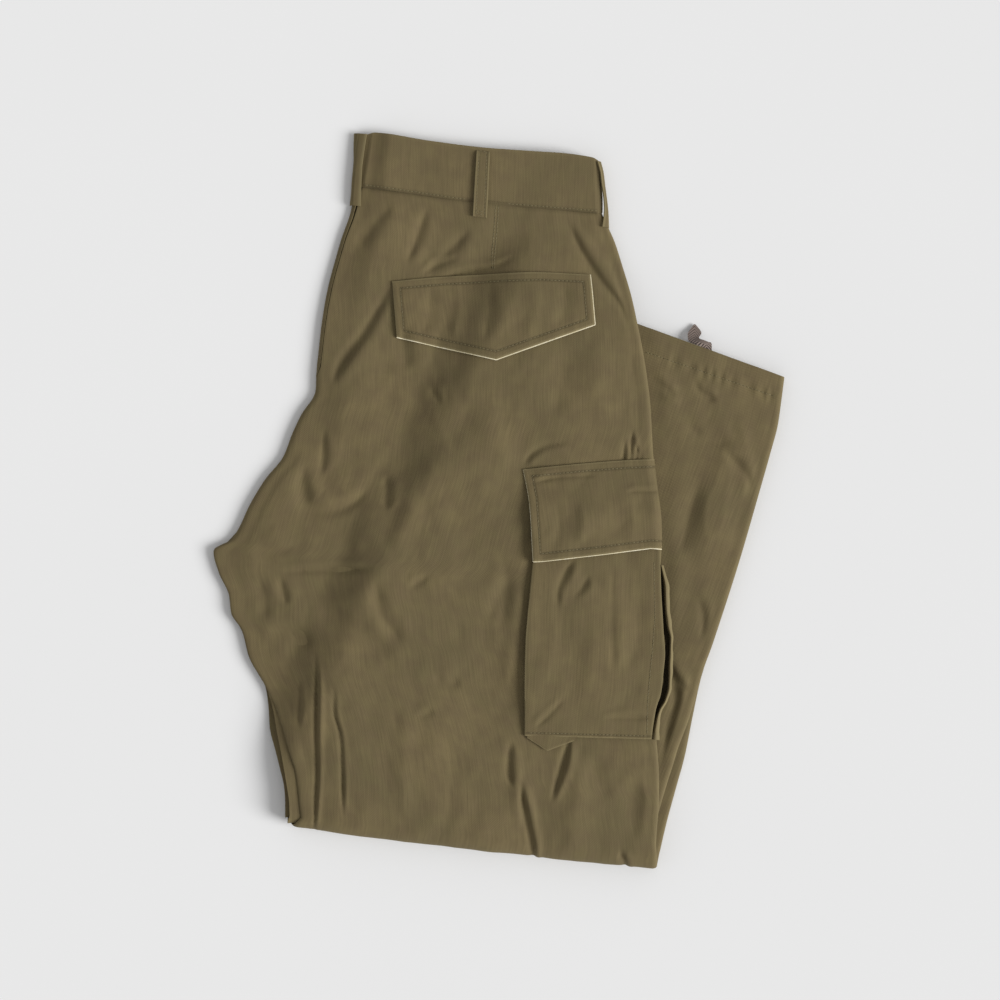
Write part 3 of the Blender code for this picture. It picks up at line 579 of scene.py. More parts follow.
def backdrop_paper():
    """Matt white paper: no shine, and very slightly uneven."""
    finish = {"Roughness": 1.0, "Metallic": 0.0, "Specular_IOR_Level": 0.0}
    made, tree, shader = new_material("matt backdrop paper", **finish)
    place = add_node(tree, "ShaderNodeTexCoord", out="Object")
    cloud = add_node(tree, "ShaderNodeTexNoise", {"Vector": place, "Scale": 3.0})
    whites = {"Fac": cloud, "Color1": linear("#e7e7e7"), "Color2": linear("#e9e9e9")}
    tree.links.new(add_node(tree, "ShaderNodeMixRGB", whites), shader.inputs["Base Color"])
    return made


def select_only(piece):
    bpy.ops.object.select_all(action="DESELECT")
    piece.select_set(True)
    bpy.context.view_layer.objects.active = piece


def smooth_shaded(piece, angle=50):
    select_only(piece)
    bpy.ops.object.shade_smooth_by_angle(angle=math.radians(angle))


def thickened(piece, wall):
    """Gives a sheet its wall, on the inner side of its face."""
    solid = piece.modifiers.new("wall", "SOLIDIFY")
    solid.thickness = wall * MM
    solid.offset = -1.0
    solid.use_even_offset = True
    solid.use_rim = True
    select_only(piece)
    bpy.ops.object.modifier_apply(modifier=solid.name)
    smooth_shaded(piece)


def turn_faces_outwards(mesh):
    body = bmesh.new()
    body.from_mesh(mesh)
    bmesh.ops.recalc_face_normals(body, faces=body.faces)
    body.to_mesh(mesh)
    body.free()


def mesh_piece(name, points, faces, material, cloth=None, wear_and_shade=None, slot="olive_cotton_twill", wall=None):
    """A piece from points in the garment plan, with its cloth map, how worn it is and where shade is painted
    on it.
    It is closed as it is, or a sheet that is given its wall."""
    mesh = bpy.data.meshes.new(name)
    mesh.from_pydata(to_world(points).tolist(), [], faces)
    if cloth is not None:
        corners = np.empty(len(mesh.loops), int)
        mesh.loops.foreach_get("vertex_index", corners)
        layer = mesh.uv_layers.new(name="cloth")
        layer.data.foreach_set("uv", (np.asarray(cloth) * MM)[corners].ravel())
    if wear_and_shade is not None:
        mesh.attributes.new("wear_and_shade", "FLOAT", "POINT").data.foreach_set("value", np.asarray(wear_and_shade, float).ravel())
    if wall is None:
        turn_faces_outwards(mesh)
    piece = bpy.data.objects.new(name, mesh)
    bpy.context.scene.collection.objects.link(piece)
    piece.data.materials.append(material)
    if wall is not None:
        thickened(piece, wall)
    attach(piece, BODY)
    return piece


def grid_quads(rows, width, start=0, closed=False):
    r, c = np.meshgrid(np.arange(rows - 1), np.arange(width if closed else width - 1), indexing="ij")
    n = (c + 1) % width
    quads = np.stack([r * width + c, r * width + n, (r + 1) * width + n, (r + 1) * width + c], axis=-1)
    return (quads.reshape(-1, 4) + start).tolist()


def cloth_map(points):
    """Distances on the cloth: across each row of points from its middle, and down each column."""
    across = np.linalg.norm(np.diff(points, axis=1), axis=2)
    down = np.linalg.norm(np.diff(points, axis=0), axis=2)
    u = np.concatenate([np.zeros((len(points), 1)), np.cumsum(across, axis=1)], axis=1)
    v = np.concatenate([np.zeros((1, points.shape[1])), np.cumsum(down, axis=0)], axis=0)
    return u - u[:, points.shape[1] // 2][:, None], v


def sheet_piece(name, points, wall, material, wear_and_shade=None, closed=False, rows_down=True, **settings):
    """A sheet of cloth through a grid of points on its outer face: columns run right, rows run down or up."""
    faces = grid_quads(*points.shape[:2], closed=closed)
    if rows_down:
        faces = [face[::-1] for face in faces]
    cloth = np.stack(cloth_map(points), axis=-1).reshape(-1, 2)
    return mesh_piece(name, points.reshape(-1, 3), faces, material, cloth, wear_and_shade, wall=wall, **settings)


# ---- the pile: rows down the garment, columns across it ----


def row_list(upper_step, fold_steps, lower_step):
    """Rows of the pile, a whole number of BACK_STEP rows apart from end to end."""
    upper_count = int(round((UPPER[0][0] - AXIS_Y) / upper_step))
    lower_count = int(round(LOWER_RUN / lower_step))
    lower_count += -(upper_count + fold_steps + lower_count) % BACK_STEP
    rows = [("upper", y) for y in np.linspace(UPPER[0][0], AXIS_Y, upper_count + 1)]
    rows += [("fold", a) for a in np.linspace(0, math.pi, fold_steps + 1)[1:]]
    rows += [("lower", q) for q in np.linspace(0, 1, lower_count + 1)[1:]]
    return rows


def column_list(lobe_steps, spans):
    """Columns across a panel: turn of the left edge, share across the face, turn of the right edge."""
    shares = [0.0]
    for end, count in spans:
        shares += list(np.linspace(shares[-1], end, count + 1)[1:])
    extra = -(len(shares) - 1 + 2 * lobe_steps) % BACK_STEP
    if extra:
        last = shares[-2]
        shares = shares[:-2] + list(np.linspace(last, 1.0, extra + 2))
    turn = np.linspace(1, 0, lobe_steps + 1)[:-1]
    left = np.concatenate([turn, np.zeros(len(shares) + lobe_steps)])
    share = np.concatenate([np.zeros(lobe_steps), shares, np.ones(lobe_steps)])
    return left, share, left[::-1]


def row_edges(kind, value):
    """Edges of the layers at one row, and how much of its left edge is a leg's own inseam."""
    if kind == "upper":
        top, mid, low, right = (float(upper_edge(c, value)) for c in (1, 2, 3, 4))
        leg = float(np.interp(-value, [57, 68], [0, 1]))
        right_low = right - LOW_SHORT
        return {"top": top, "mid": mid, "low": low, "right": right, "right_low": right_low, "leg": leg}
    first, last = LOWER[0], UPPER[-1]
    if kind == "fold":
        low_left = LOWER_LEFT[0][0]
        ends = {"top": (last[1], low_left), "mid": (last[2], low_left), "low": (last[3], low_left - 1)}
        ends.update({"right": (last[4], first[1]), "right_low": (last[4] - LOW_SHORT, first[1] - first[2])})
        return {**{key: mix(a, b, value / math.pi) for key, (a, b) in ends.items()}, "leg": 1.0}
    left_end, right_end = lower_line(value)
    length = math.hypot(*(right_end - left_end))
    short = float(through(LOWER_SHARE, [row[2] for row in LOWER], value))
    return {"top": 0.0, "mid": 0.0, "low": 0.0, "right": length, "right_low": length - short, "leg": 1.0}


def row_thickness(kind, value, s):
    if kind == "upper":
        return upper_thickness(s, np.full_like(s, value))
    if kind == "fold":
        persist = math.cos(value / 2) ** 2
        return LOW_TOP + persist * (upper_thickness(s, np.full_like(s, AXIS_Y)) - LOW_TOP)
    x, y = lower_place(value, s)
    return LOW_TOP + FREE_RISE * beside_upper(x, y)


def lower_place(share, s):
    left_end, right_end = lower_line(share)
    unit = (right_end - left_end) / math.hypot(*(right_end - left_end))
    return left_end[0] + unit[0] * s, left_end[1] + unit[1] * s


def row_points(kind, value, s, d):
    """Places of the points (s, d) of one row."""
    if kind == "upper":
        mid, half = (UPPER[1][1] + UPPER[1][4]) / 2, (UPPER[1][4] - UPPER[1][1]) / 2
        sag = 3.0 * float(smooth((value - 166) / 85)) * np.maximum(1 - ((s - mid) / half) ** 2, 0)
        return np.stack([s, value - sag, lift(s, np.full_like(s, value)) + d], axis=-1)
    if kind == "fold":
        radius = STACK_GAP / 2 + d
        return np.stack([s, AXIS_Y - radius * math.sin(value), AXIS_Z + radius * math.cos(value)], axis=-1)
    x, y = lower_place(value, s)
    return np.stack([x, y, LOW_TOP + FREE_RISE * beside_upper(x, y) - d], axis=-1)


LAYERS = {
    # side of the layer that faces out of the pile, left edge, right edge
    "right_back": (1, "top", "right"),
    "right_front": (-1, "mid", "right"),
    "left_front": (1, "mid", "right_low"),
    "left_back": (-1, "low", "right_low"),
}


def layer_points(layer, rows, columns, depth, relief):
    """The face of one layer of the pile, or the same face moved depth into the layer."""
    way, left_key, right_key = LAYERS[layer]
    left_turn, share, right_turn = columns
    out = np.empty((len(rows), len(share), 3))
    for r, (kind, value) in enumerate(rows):
        edges = row_edges(kind, value)
        leg = edges["leg"]
        left, right = edges[left_key], edges[right_key]
        inner = layer.endswith("front")
        if inner:
            left += mix(FRONT_IN, 0.0, leg)
        left_in = mix(SEAT_LOBE, LOBE, leg)
        base = mix(left + left_in, right - LOBE, share)
        full = row_thickness(kind, value, base)
        if inner:
            face = full / 2 - 0.2 * way
            high = high_left = full / 4 - 0.35
            end = math.pi / 2
        else:
            face = full if way > 0 else np.zeros_like(full)
            high = full / 4 - 0.15
            high_left = mix(full / 2, high, leg)
            seam = math.pi / 2
            if leg < 1:
                seam = mix(seam, math.radians(27), float(smooth((value - 78) / 20)))
            seat_end = seam if way > 0 else math.pi - seam - math.radians(6)
            end = mix(seat_end, math.pi / 2, leg)
        turn_left, turn_right = left_turn * end, right_turn * math.pi / 2
        s = base - (left_in - depth) * np.sin(turn_left) + (LOBE - depth) * np.sin(turn_right)
        drop = depth + (high_left - depth) * (1 - np.cos(turn_left))
        drop = drop + (high - depth) * (1 - np.cos(turn_right))
        rise = relief[r] * smooth(share / 0.03) * smooth((1 - share) / 0.03)
        out[r] = row_points(kind, value, s, face + way * (rise - drop))
    return out


def lowest_near(values, reach):
    """For each point, the lowest value within reach rows and columns."""
    padded = np.pad(values, reach, mode="edge")
    out = values.copy()
    for dr in range(2 * reach + 1):
        for dc in range(2 * reach + 1):
            out = np.minimum(out, padded[dr : dr + values.shape[0], dc : dc + values.shape[1]])
    return out


def fan(fine, coarse):
    """Triangles between an edge of the fine face and the same edge of the coarse back."""
    ratio = (len(fine) - 1) // (len(coarse) - 1)
    faces = []
    for k, (a, b) in enumerate(zip(coarse, coarse[1:])):
        run = fine[k * ratio : (k + 1) * ratio + 1]
        half = (len(run) - 1) // 2
        for i, (p, q) in enumerate(zip(run, run[1:])):
            faces.append((a if i <= half - 1 else b, p, q))
        faces.append((a, run[half], b))
    return faces


def layer_piece(name, layer, rows, columns, relief, material, seam_shade=0.0):
    """One layer of the pile as a closed wall of cloth: a fine face and a coarser back."""
    step = BACK_STEP
    outer = layer_points(layer, rows, columns, 0.0, relief)
    back_columns = tuple(c[::step] for c in columns)
    back_relief = lowest_near(relief, step)[::step, ::step]
    inner = layer_points(layer, rows[::step], back_columns, WALL, back_relief)
    face_shape, back_shape = outer.shape[:2], inner.shape[:2]
    start = face_shape[0] * face_shape[1]
    fine = np.arange(start).reshape(face_shape)
    coarse = start + np.arange(back_shape[0] * back_shape[1]).reshape(back_shape)
    faces = grid_quads(*face_shape) + [f[::-1] for f in grid_quads(*back_shape, start)]
    for edge in (0, -1):
        faces += fan(fine[edge].tolist(), coarse[edge].tolist())
    for edge in (0, -1):
        faces += fan(fine[:, edge].tolist(), coarse[:, edge].tolist())
    points = np.concatenate([outer.reshape(-1, 3), inner.reshape(-1, 3)])
    u, v = cloth_map(outer)
    v = np.repeat(v.mean(axis=1)[:, None], face_shape[1], axis=1)
    cloth = np.stack([u, v], axis=-1)
    cloth = np.concatenate([cloth.reshape(-1, 2), cloth[::step, ::step].reshape(-1, 2)])
    left_turn, _, right_turn = columns
    # folded edges paler with wear; the right ones three times as pale, a painted highlight where the lamp on
    # the right falls on them
    edge = np.maximum(left_turn * 0.1, right_turn * 0.3)
    # plus painted shade along a seam, where one is given
    edge = np.repeat(edge[None, :], face_shape[0], axis=0) + seam_shade
    wear_and_shade = np.concatenate([edge.ravel(), edge[::step, ::step].ravel()])
    piece = mesh_piece(name, points, faces, material, cloth, wear_and_shade)
    smooth_shaded(piece)
    return piece


def plan_of(rows, columns, left_key, right_key):
    """Where each point of a layer's face lies in the garment plan."""
    _, share, _ = columns
    x, y = np.empty((len(rows), len(share))), np.empty((len(rows), len(share)))
    for r, (kind, value) in enumerate(rows):
        edges = row_edges(kind, value)
        s = mix(edges[left_key], edges[right_key], share)
        if kind == "lower":
            x[r], y[r] = lower_place(value, s)
        else:
            x[r], y[r] = s, (value if kind == "upper" else AXIS_Y - 12 * math.sin(value))
    return x, y


def row_kinds(rows):
    return np.array([kind for kind, _ in rows])


def face_relief(rows, columns):
    """Folds in the face of the upper pile, which is the right back panel."""
    x, y = plan_of(rows, columns, "top", "right")
    room = np.minimum(x - x[:, :1], x[:, -1:] - x)
    free = smooth(room / 10)
    relief = folds(UPPER_FOLDS, x, y)
    relief += swell(x, y, 3, 0.34, 46) + swell(x, y, 8, 0.14, 19) * smooth(room / 30)
    relief = FOLD_LIMIT * np.tanh(relief / FOLD_LIMIT) * free
    relief -= 0.7 * smooth((y - 250.4) / 1.6)  # tucked under the waistband
    kinds = row_kinds(rows)
    low = kinds == "lower"
    relief[low] = -np.abs(swell(x[low], y[low], 5, 0.30, 60)) * free[low]
    fold = kinds == "fold"
    turn = np.array([value for kind, value in rows if kind == "fold"])
    relief[fold] *= (np.cos(turn / 2) ** 2)[:, None]
    return relief


def underside_relief(rows, columns):
    """Folds in the left back panel, whose lower leg shows beside the upper pile."""
    x, y = plan_of(rows, columns, "low", "right_low")
    room = np.minimum(x - x[:, :1], x[:, -1:] - x)
    kinds = row_kinds(rows)
    low = kinds == "lower"
    relief = np.zeros(x.shape)
    up = kinds == "upper"
    relief[up] = -np.abs(swell(x[up], y[up], 6, 0.35, 60)) * smooth(room[up] / 12)
    share = np.array([value for kind, value in rows if kind == "lower"])[:, None]
    x, y = x[low], y[low]
    made = folds(LOWER_FOLDS, x, y) + swell(x, y, 11, 0.28, 30)
    from_hem = (1 - share) * LOWER_LENGTH
    pucker = 0.50 * np.sin(x / 1.7 + 2 * np.sin(x / 9)) * bell(from_hem - HEM_DEPTH, 6)
    groove = -0.80 * bell(from_hem - HEM_DEPTH, 1.3) + 0.35 * smooth((HEM_DEPTH - from_hem) / 2)
    relief[low] = (np.clip(made, -2.8, 2.4) * smooth(room[low] / 9) + pucker + groove) * beside_upper(x, y)
    return relief


# ---- the camera, the surface and the light ----


def set_camera():
    data = bpy.data.cameras.new("camera")
    data.lens = 85.0
    data.sensor_width = 36.0
    camera = bpy.data.objects.new("camera", data)
    camera.location = (0.0008, 0.0004, 2.003)
    bpy.context.scene.collection.objects.link(camera)
    bpy.context.scene.camera = camera


def set_light():
    """A large soft lamp low on the right, in a white room."""
    scene = bpy.context.scene
    scene.view_settings.view_transform = "Standard"
    world = bpy.data.worlds.new("white room")
    world.use_nodes = True
    background = world.node_tree.nodes["Background"]
    background.inputs["Color"].default_value = (1.0, 1.0, 1.0, 1.0)
    background.inputs["Strength"].default_value = 0.4635
    scene.world = world
    lamp = bpy.data.lights.new("window", "SUN")
    lamp.energy = 3.3
    lamp.angle = math.radians(30)
    window = bpy.data.objects.new("window", lamp)
    towards = Vector((1.0, -0.28, 0.62))
    window.rotation_euler = towards.to_track_quat("Z", "Y").to_euler()
    scene.collection.objects.link(window)


def lay_floor():
    bpy.ops.object.select_all(action="DESELECT")
    bpy.ops.mesh.primitive_plane_add(size=8.0, location=(0, 0, -0.0002))
    floor = bpy.context.active_object
    floor.name = "backdrop"
    bpy.ops.object.transform_apply(location=True, rotation=True, scale=True)
    floor.data.materials.append(backdrop_paper())


set_camera()
set_light()
lay_floor()
twill = cotton_twill()
thread = sewing_thread()
lining = unbleached_lining()


# ---- the drawcord tape ----


def drawcord_tape():
    """Flat tape out of the hem's mouth, folded over on the slant, with its end folded to a point."""
    edges = np.array(TAPE_EDGES)
    middle = (edges[:, :3] + edges[:, 3:]) / 2
    run = run_along(middle)
    at = np.linspace(0, run[-1], 70)
    both = np.stack([through(run, column, at) for column in edges.T], axis=-1)
    rows = np.stack([mix(both[:, :3], both[:, 3:], t) for t in (0, 0.25, 0.5, 0.75, 1)], axis=1)
    piece = sheet_piece("drawcord_tape", rows, 0.8, woven_tape(), slot="dark_drawcord_tape", rows_down=False)
    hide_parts("hem_tie")


drawcord_tape()


# ---- the four layers of the legs ----

FACE_ROWS = row_list(2.0, 18, 12.0)
FACE_COLUMNS = column_list(5, [(1.0, 225)])
FACE_RELIEF = face_relief(FACE_ROWS, FACE_COLUMNS)
_, FACE_Y = plan_of(FACE_ROWS, FACE_COLUMNS, "top", "right")
FACE_SEAM_SHADE = -0.3 * smooth((FACE_Y - 249.4) / 1.4)  # painted shade in the groove of the waist seam
right_back = layer_piece(
    "right_back_leg", "right_back", FACE_ROWS, FACE_COLUMNS, FACE_RELIEF, twill, FACE_SEAM_SHADE
)
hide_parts("back_right")

UNDER_ROWS = row_list(5.0, 15, 2.1)
UNDER_COLUMNS = column_list(5, [(0.52, 22), (1.0, 78)])
UNDER_RELIEF = underside_relief(UNDER_ROWS, UNDER_COLUMNS)
left_back = layer_piece("left_back_leg", "left_back", UNDER_ROWS, UNDER_COLUMNS, UNDER_RELIEF, twill)
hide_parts("back_left")

FRONT_ROWS = row_list(4.5, 9, 4.5)
FRONT_COLUMNS = column_list(4, [(1.0, 22)])
FLAT = np.zeros((len(FRONT_ROWS), len(FRONT_COLUMNS[0])))
right_front = layer_piece("right_front_leg", "right_front", FRONT_ROWS, FRONT_COLUMNS, FLAT, twill)
left_front = layer_piece("left_front_leg", "left_front", FRONT_ROWS, FRONT_COLUMNS, FLAT, twill)
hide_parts("front_layers")


# ---- finding the height of what a piece lies on ----


def height_at(pieces, x, y):
    """Top of the pieces at one place of the garment plan, in millimetres."""
    place = to_world((x, y, 0))
    best = 0.0
    for piece in pieces:
        hit, where, _, _ = piece.ray_cast(Vector((place[0], place[1], 0.2)), Vector((0, 0, -1)))
        if hit:
            best = max(best, where.z / MM)
    return best


def lie_on_leg(x, y, reach=2, rounds=2):
    """Height of a cloth that bridges the hollows of the right back leg."""
    z = np.array([[height_at([right_back], a, b) for a, b in zip(ra, rb)] for ra, rb in zip(x, y)])
    z = -lowest_near(-z, reach)
    for _ in range(rounds):
        padded = np.pad(z, 1, mode="edge")
        near = padded[:-2, 1:-1] + padded[2:, 1:-1] + padded[1:-1, :-2] + padded[1:-1, 2:]
        z = np.maximum(z, (near + 2 * z) / 6)
    return z


def patch(top, low, left, right):
    """A grid between four edges: top and low run left to right, left and right run down."""
    u = np.linspace(0, 1, len(top))[None, :, None]
    v = np.linspace(0, 1, len(left))[:, None, None]
    flat = (1 - v) * ((1 - u) * top[0] + u * top[-1]) + v * ((1 - u) * low[0] + u * low[-1])
    return (1 - v) * top + v * low + (1 - u) * left[:, None] + u * right[:, None] - flat


def outline_distance(outline, x, y):
    side, _ = nearest(np.array(outline, float), x, y)
    return np.abs(side)


def closed_line(outline):
    return list(outline) + [outline[0]]


def inset(outline, by):
    """The closed outline moved inwards; it runs anticlockwise."""
    points = np.array(outline, float)
    made = []
    for before, at, after in zip(np.roll(points, 1, axis=0), points, np.roll(points, -1, axis=0)):
        a, b = (at - before) / np.hypot(*(at - before)), (after - at) / np.hypot(*(after - at))
        na, nb = np.array([-a[1], a[0]]), np.array([-b[1], b[0]])
        made.append(at + by * (na + nb) / (1 + na @ nb))
    return np.array(made)


# ---- stitches ----

STITCH = 2.5
PITCH = 3.2


def one_stitch():
    """A single stitch, lying along x: a short thread that dips into the cloth at both ends."""
    bpy.ops.object.select_all(action="DESELECT")
    bpy.ops.mesh.primitive_cylinder_add(vertices=6, radius=0.29, depth=STITCH, rotation=(0, math.pi / 2, 0))
    seed = bpy.context.active_object
    bpy.ops.object.transform_apply(location=False, rotation=True, scale=False)
    bpy.ops.object.mode_set(mode="EDIT")
    body = bmesh.from_edit_mesh(seed.data)
    for face in body.faces:
        face.select_set(abs(face.normal.x) > 0.9)
    bmesh.update_edit_mesh(seed.data)
    bpy.ops.mesh.inset(thickness=0.12, depth=0.12)
    bpy.ops.object.mode_set(mode="OBJECT")
    made = np.array([v.co for v in seed.data.vertices])
    faces = [tuple(p.vertices) for p in seed.data.polygons]
    bpy.data.objects.remove(seed)
    made[:, 2] -= 0.10 * (2 * made[:, 0] / STITCH) ** 2
    return made, faces


STITCH_SHAPE = one_stitch()


def stitch_piece(name, lines, below):
    """Rows of stitches along lines on the pieces below, all in one mesh."""
    shape, shape_faces = STITCH_SHAPE
    rng = np.random.default_rng(len(name))
    points, faces = [], []
    for line in lines:
        line = np.array(line, float)
        run = run_along(line)
        for at in np.arange(PITCH / 2, run[-1] - STITCH / 2, PITCH):
            near = (at - 1, at, at + 1)
            behind, here, ahead = np.array([np.interp(near, run, column) for column in line.T]).T
            unit = (ahead - behind) / max(np.hypot(*(ahead - behind)), 1e-6)
            wander = rng.normal(0, 0.05)
            x, y = here[0] - unit[1] * wander, here[1] + unit[0] * wander
            z0 = height_at(below, x - unit[0], y - unit[1])
            z1 = height_at(below, x + unit[0], y + unit[1])
            pitch = math.atan2(np.clip(z1 - z0, -1.5, 1.5), 2)
            along = np.array([unit[0] * math.cos(pitch), unit[1] * math.cos(pitch), math.sin(pitch)])
            side = np.array([-unit[1], unit[0], 0])
            up = np.cross(along, side)
            middle = np.array([x, y, (z0 + z1) / 2 + 0.12])
            start = len(points)
            points += list(middle + shape @ np.stack([along, side, up]))
            faces += [tuple(start + i for i in face) for face in shape_faces]
    piece = mesh_piece(name, np.array(points), faces, thread)
    smooth_shaded(piece, 60)


# ---- flaps, bag and gusset ----


def flap_piece(name, grid, outline, stand, ease, drape_folds, seed, right_curl=0.0):
    """A lined flap: sewn down along its top edge, it rises over the first share of its depth (ease) to stand
    off what it lies on."""
    x, y = grid[..., 0], grid[..., 1]
    base = lie_on_leg(held_on_leg(x, y) if right_curl else x, y)
    v = np.linspace(0, 1, grid.shape[0])[:, None]
    z = base + FLAP_WALL + 0.3 + stand * smooth(v / ease)
    edge = outline_distance(outline, x, y)
    z += folds(drape_folds, x, y) + swell(x, y, seed, 0.16, 24)
    z -= 0.7 * (1 - smooth(edge / 1.6))
    z -= 0.42 * bell(edge - FLAP_ROW, 0.9)
    z += 0.14 * np.sin((x + y) * 2 * math.pi / PITCH) * bell(edge - FLAP_ROW, 1.6)
    if right_curl:
        z -= right_curl * np.clip((x - (upper_edge(4, y) - 7)) / 7, 0, 1.4) ** 2
    points = np.stack([x, y, z], axis=-1)
    # pale worn edges, and painted shade in the groove along the row of stitches
    wear_and_shade = 0.9 * (1 - smooth(edge / 1.8)) - 0.6 * bell(edge - FLAP_ROW, 1.0)
    return sheet_piece(name, points, FLAP_WALL, twill, wear_and_shade), points


def lining_edge(name, line, centre, beyond):
    """The lining's folded edge, which shows as a pale line beyond the flap's own edge."""
    inwards = np.gradient(line[:, :2], axis=0)
    inwards = np.stack([-inwards[:, 1], inwards[:, 0]], axis=-1)
    inwards /= np.hypot(*inwards.T)[:, None]
    if ((np.array(centre) - line[:, :2]) * inwards).sum() < 0:
        inwards = -inwards
    inwards = np.concatenate([inwards, np.zeros((len(line), 1))], axis=1)
    out = line - inwards * beyond[:, None]
    back = line + inwards * 2.2
    lower = np.array([0, 0, FLAP_WALL * 0.45])
    rows = np.stack([back - lower, mix(back, out, 0.6) - lower, out - lower * 1.02], axis=1)
    sheet_piece(name, rows, 0.5, lining, rows_down=False)


# anticlockwise from the lower left corner
BACK_FLAP_OUTLINE = list(BACK_FLAP_LOW) + list(BACK_FLAP_TOP[::-1])
back_grid = patch(
    along_line(BACK_FLAP_TOP, 151, corners=False),
    np.concatenate([along_line(BACK_FLAP_LOW[:2], 76), along_line(BACK_FLAP_LOW[1:], 76)[1:]]),
    along_line((BACK_FLAP_TOP[0], BACK_FLAP_LOW[0]), 66),
    along_line((BACK_FLAP_TOP[-1], BACK_FLAP_LOW[-1]), 66),
)
back_flap, back_points = flap_piece(
    "back_pocket_flap", back_grid, closed_line(BACK_FLAP_OUTLINE), 1.4, 0.45, BACK_FLAP_FOLDS, 21
)
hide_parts("pocket_flap_back")


def bag_piece():
    """The bag stands off the leg on its bellows: its left edge turns under, its right edge folds down."""
    table = np.array(CARGO_BAG)
    rows = 104
    keys = np.linspace(0, 1, len(table))
    at = np.linspace(0, 1, rows)
    x0, y0, x1, y1, high = (through(keys, table[:, k], at) for k in range(5))
    share = np.concatenate([[0.0, 0.006], np.linspace(0.014, 0.986, 72), [0.994, 1.0]])
    x = mix(x0[:, None], x1[:, None], share)
    y = mix(y0[:, None], y1[:, None], share)
    base = lie_on_leg(held_on_leg(x, y), y, reach=3, rounds=4)
    z = base + high[:, None] + WALL
    outline = [(x0[k], y0[k]) for k in range(0, rows, 6)] + [CARGO_BAG[-1][:2], CARGO_BAG[-1][2:4]]
    side = outline_distance(outline, x, y)
    low_row = bell(np.abs(y - mix(y0[-1], y1[-1], share)) - BAG_ROW, 0.8)
    z += folds(BAG_FOLDS, x, y) * smooth(side / 3) + swell(x, y, 31, 0.18, 26)
    z -= 0.5 * (1 - smooth(side / 1.5))
    z -= 0.40 * low_row
    z -= 0.35 * bell(x - through(*np.array(BAG_SEAM).T, y), 0.8)
    face = np.stack([x, y, z], axis=-1)
    x_left, y_left, z_left = x[:, [0]], y[:, [0]], z[:, [0]]
    standing = np.maximum(z_left - (base[:, [0]] + 0.5), 0.4)
    left = []
    for dx, down in ((5.5, 1.0), (3.2, 0.86), (1.2, 0.62), (0.1, 0.4), (-0.35, 0.2)):
        left.append(np.stack([x_left + dx, y_left, z_left - down * standing], axis=-1))
    x_right, y_right, z_right = x[:, [-1]], y[:, [-1]], z[:, [-1]]
    ease = (smooth((at - 0.02) / 0.2) * smooth((1.02 - at) / 0.12))[:, None]
    right = []
    for dx, down in ((0.5, 0.7), (0.3, 1.9), (-0.5, 3.2), (-1.6, 4.6), (-3.2, 5.6)):
        right.append(np.stack([x_right + dx * ease, y_right, z_right - down * ease - 0.2], axis=-1))
    grid = np.concatenate(left + [face] + right, axis=1)
    wear_and_shade = np.zeros(grid.shape[:2])
    wear_and_shade[:, 3:7] = 0.8
    wear_and_shade[:, -7:-4] = 0.45
    # painted shade on the edge turned under into the slit beside the bellows
    wear_and_shade[:, -3:] = -0.8
    wear_and_shade[-2:, :] = 0.7
    # painted shade in the groove along the bottom row of stitches
    wear_and_shade[:, 5:-5] -= 0.5 * low_row
    piece = sheet_piece("cargo_pocket_bag", grid, WALL * 0.85, twill, wear_and_shade)
    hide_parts("cargo_bag")
    return piece


cargo_bag = bag_piece()


def gusset_piece():
    """The folded bellows on the bag's right: out to its lip and back in under it."""
    y = np.linspace(-38, -184, 80)
    down, *sides = np.array(GUSSET).T
    inner, lip, z = (through(down, column, y) for column in sides)
    lip = lip + 0.35 * np.sin(y / 5.1) + 0.2 * np.sin(y / 2.3)
    # share of the way out to the lip, and height
    section = ((-1.3, -5.2), (-0.6, -5.0), (-0.1, -4.2), (0.0, -1.5), (0.06, 1.6), (0.3, 2.8), (0.6, 2.5),
               (0.88, 1.3), (1.0, 0.0), (0.9, -1.2), (0.6, -2.4), (0.2, -3.4))
    columns = []
    for t, up in section:
        columns.append(np.stack([mix(inner, lip, t), y, z + up + 0.3 * np.sin(y / 7 + t)], axis=-1))
    wear_and_shade = np.zeros((len(y), len(section)))
    # painted shade down in the slit between the bag and the lip
    wear_and_shade[:, :4] = -1.2
    wear_and_shade[:, 6:10] = 0.9
    piece = sheet_piece("cargo_pocket_gusset", np.stack(columns, axis=1), 0.9, twill, wear_and_shade)
    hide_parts("cargo_gusset")
    return piece


gusset = gusset_piece()


def gusset_corner():
    """The bellows' folded corner, which peeps out under the bag's lower edge."""
    top = along_line(((45.0, -188.0), (88.0, -187.6)), 30)
    low = along_line(((45.4, -194.2), (63.4, -203.2), (84.6, -192.4)), 30)
    grid = patch(top, low, along_line((top[0], low[0]), 12), along_line((top[-1], low[-1]), 12))
    x, y = grid[..., 0], grid[..., 1]
    edge = outline_distance(low, x, y)
    z = lie_on_leg(x, y) + 2.4 + 0.6 * bell(x - 62, 7)
    z -= 0.5 * (1 - smooth(edge / 1.5))
    wear_and_shade = 0.8 * (1 - smooth(edge / 1.2))
    return sheet_piece("cargo_gusset_corner", np.stack([x, y, z], axis=-1), 1.0, twill, wear_and_shade)


corner = gusset_corner()

# its sewn edges: along the top to the left, down, and along the bottom to the right
CARGO_FLAP_SEWN = list(CARGO_FLAP_TOP[::-1]) + list(CARGO_FLAP_LEFT[1:]) + list(CARGO_FLAP_LOW[1:])
cargo_grid = patch(
    along_line(CARGO_FLAP_TOP, 120, corners=False),
    along_line(CARGO_FLAP_LOW, 120),
    along_line(CARGO_FLAP_LEFT, 84, corners=False),
    along_line(CARGO_FLAP_RIGHT, 84, corners=False),
)
cargo_flap, cargo_points = flap_piece(
    "cargo_pocket_flap", cargo_grid, CARGO_FLAP_SEWN, 5.6, 0.62, CARGO_FLAP_FOLDS, 22, right_curl=3.4
)
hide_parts("cargo_flap")

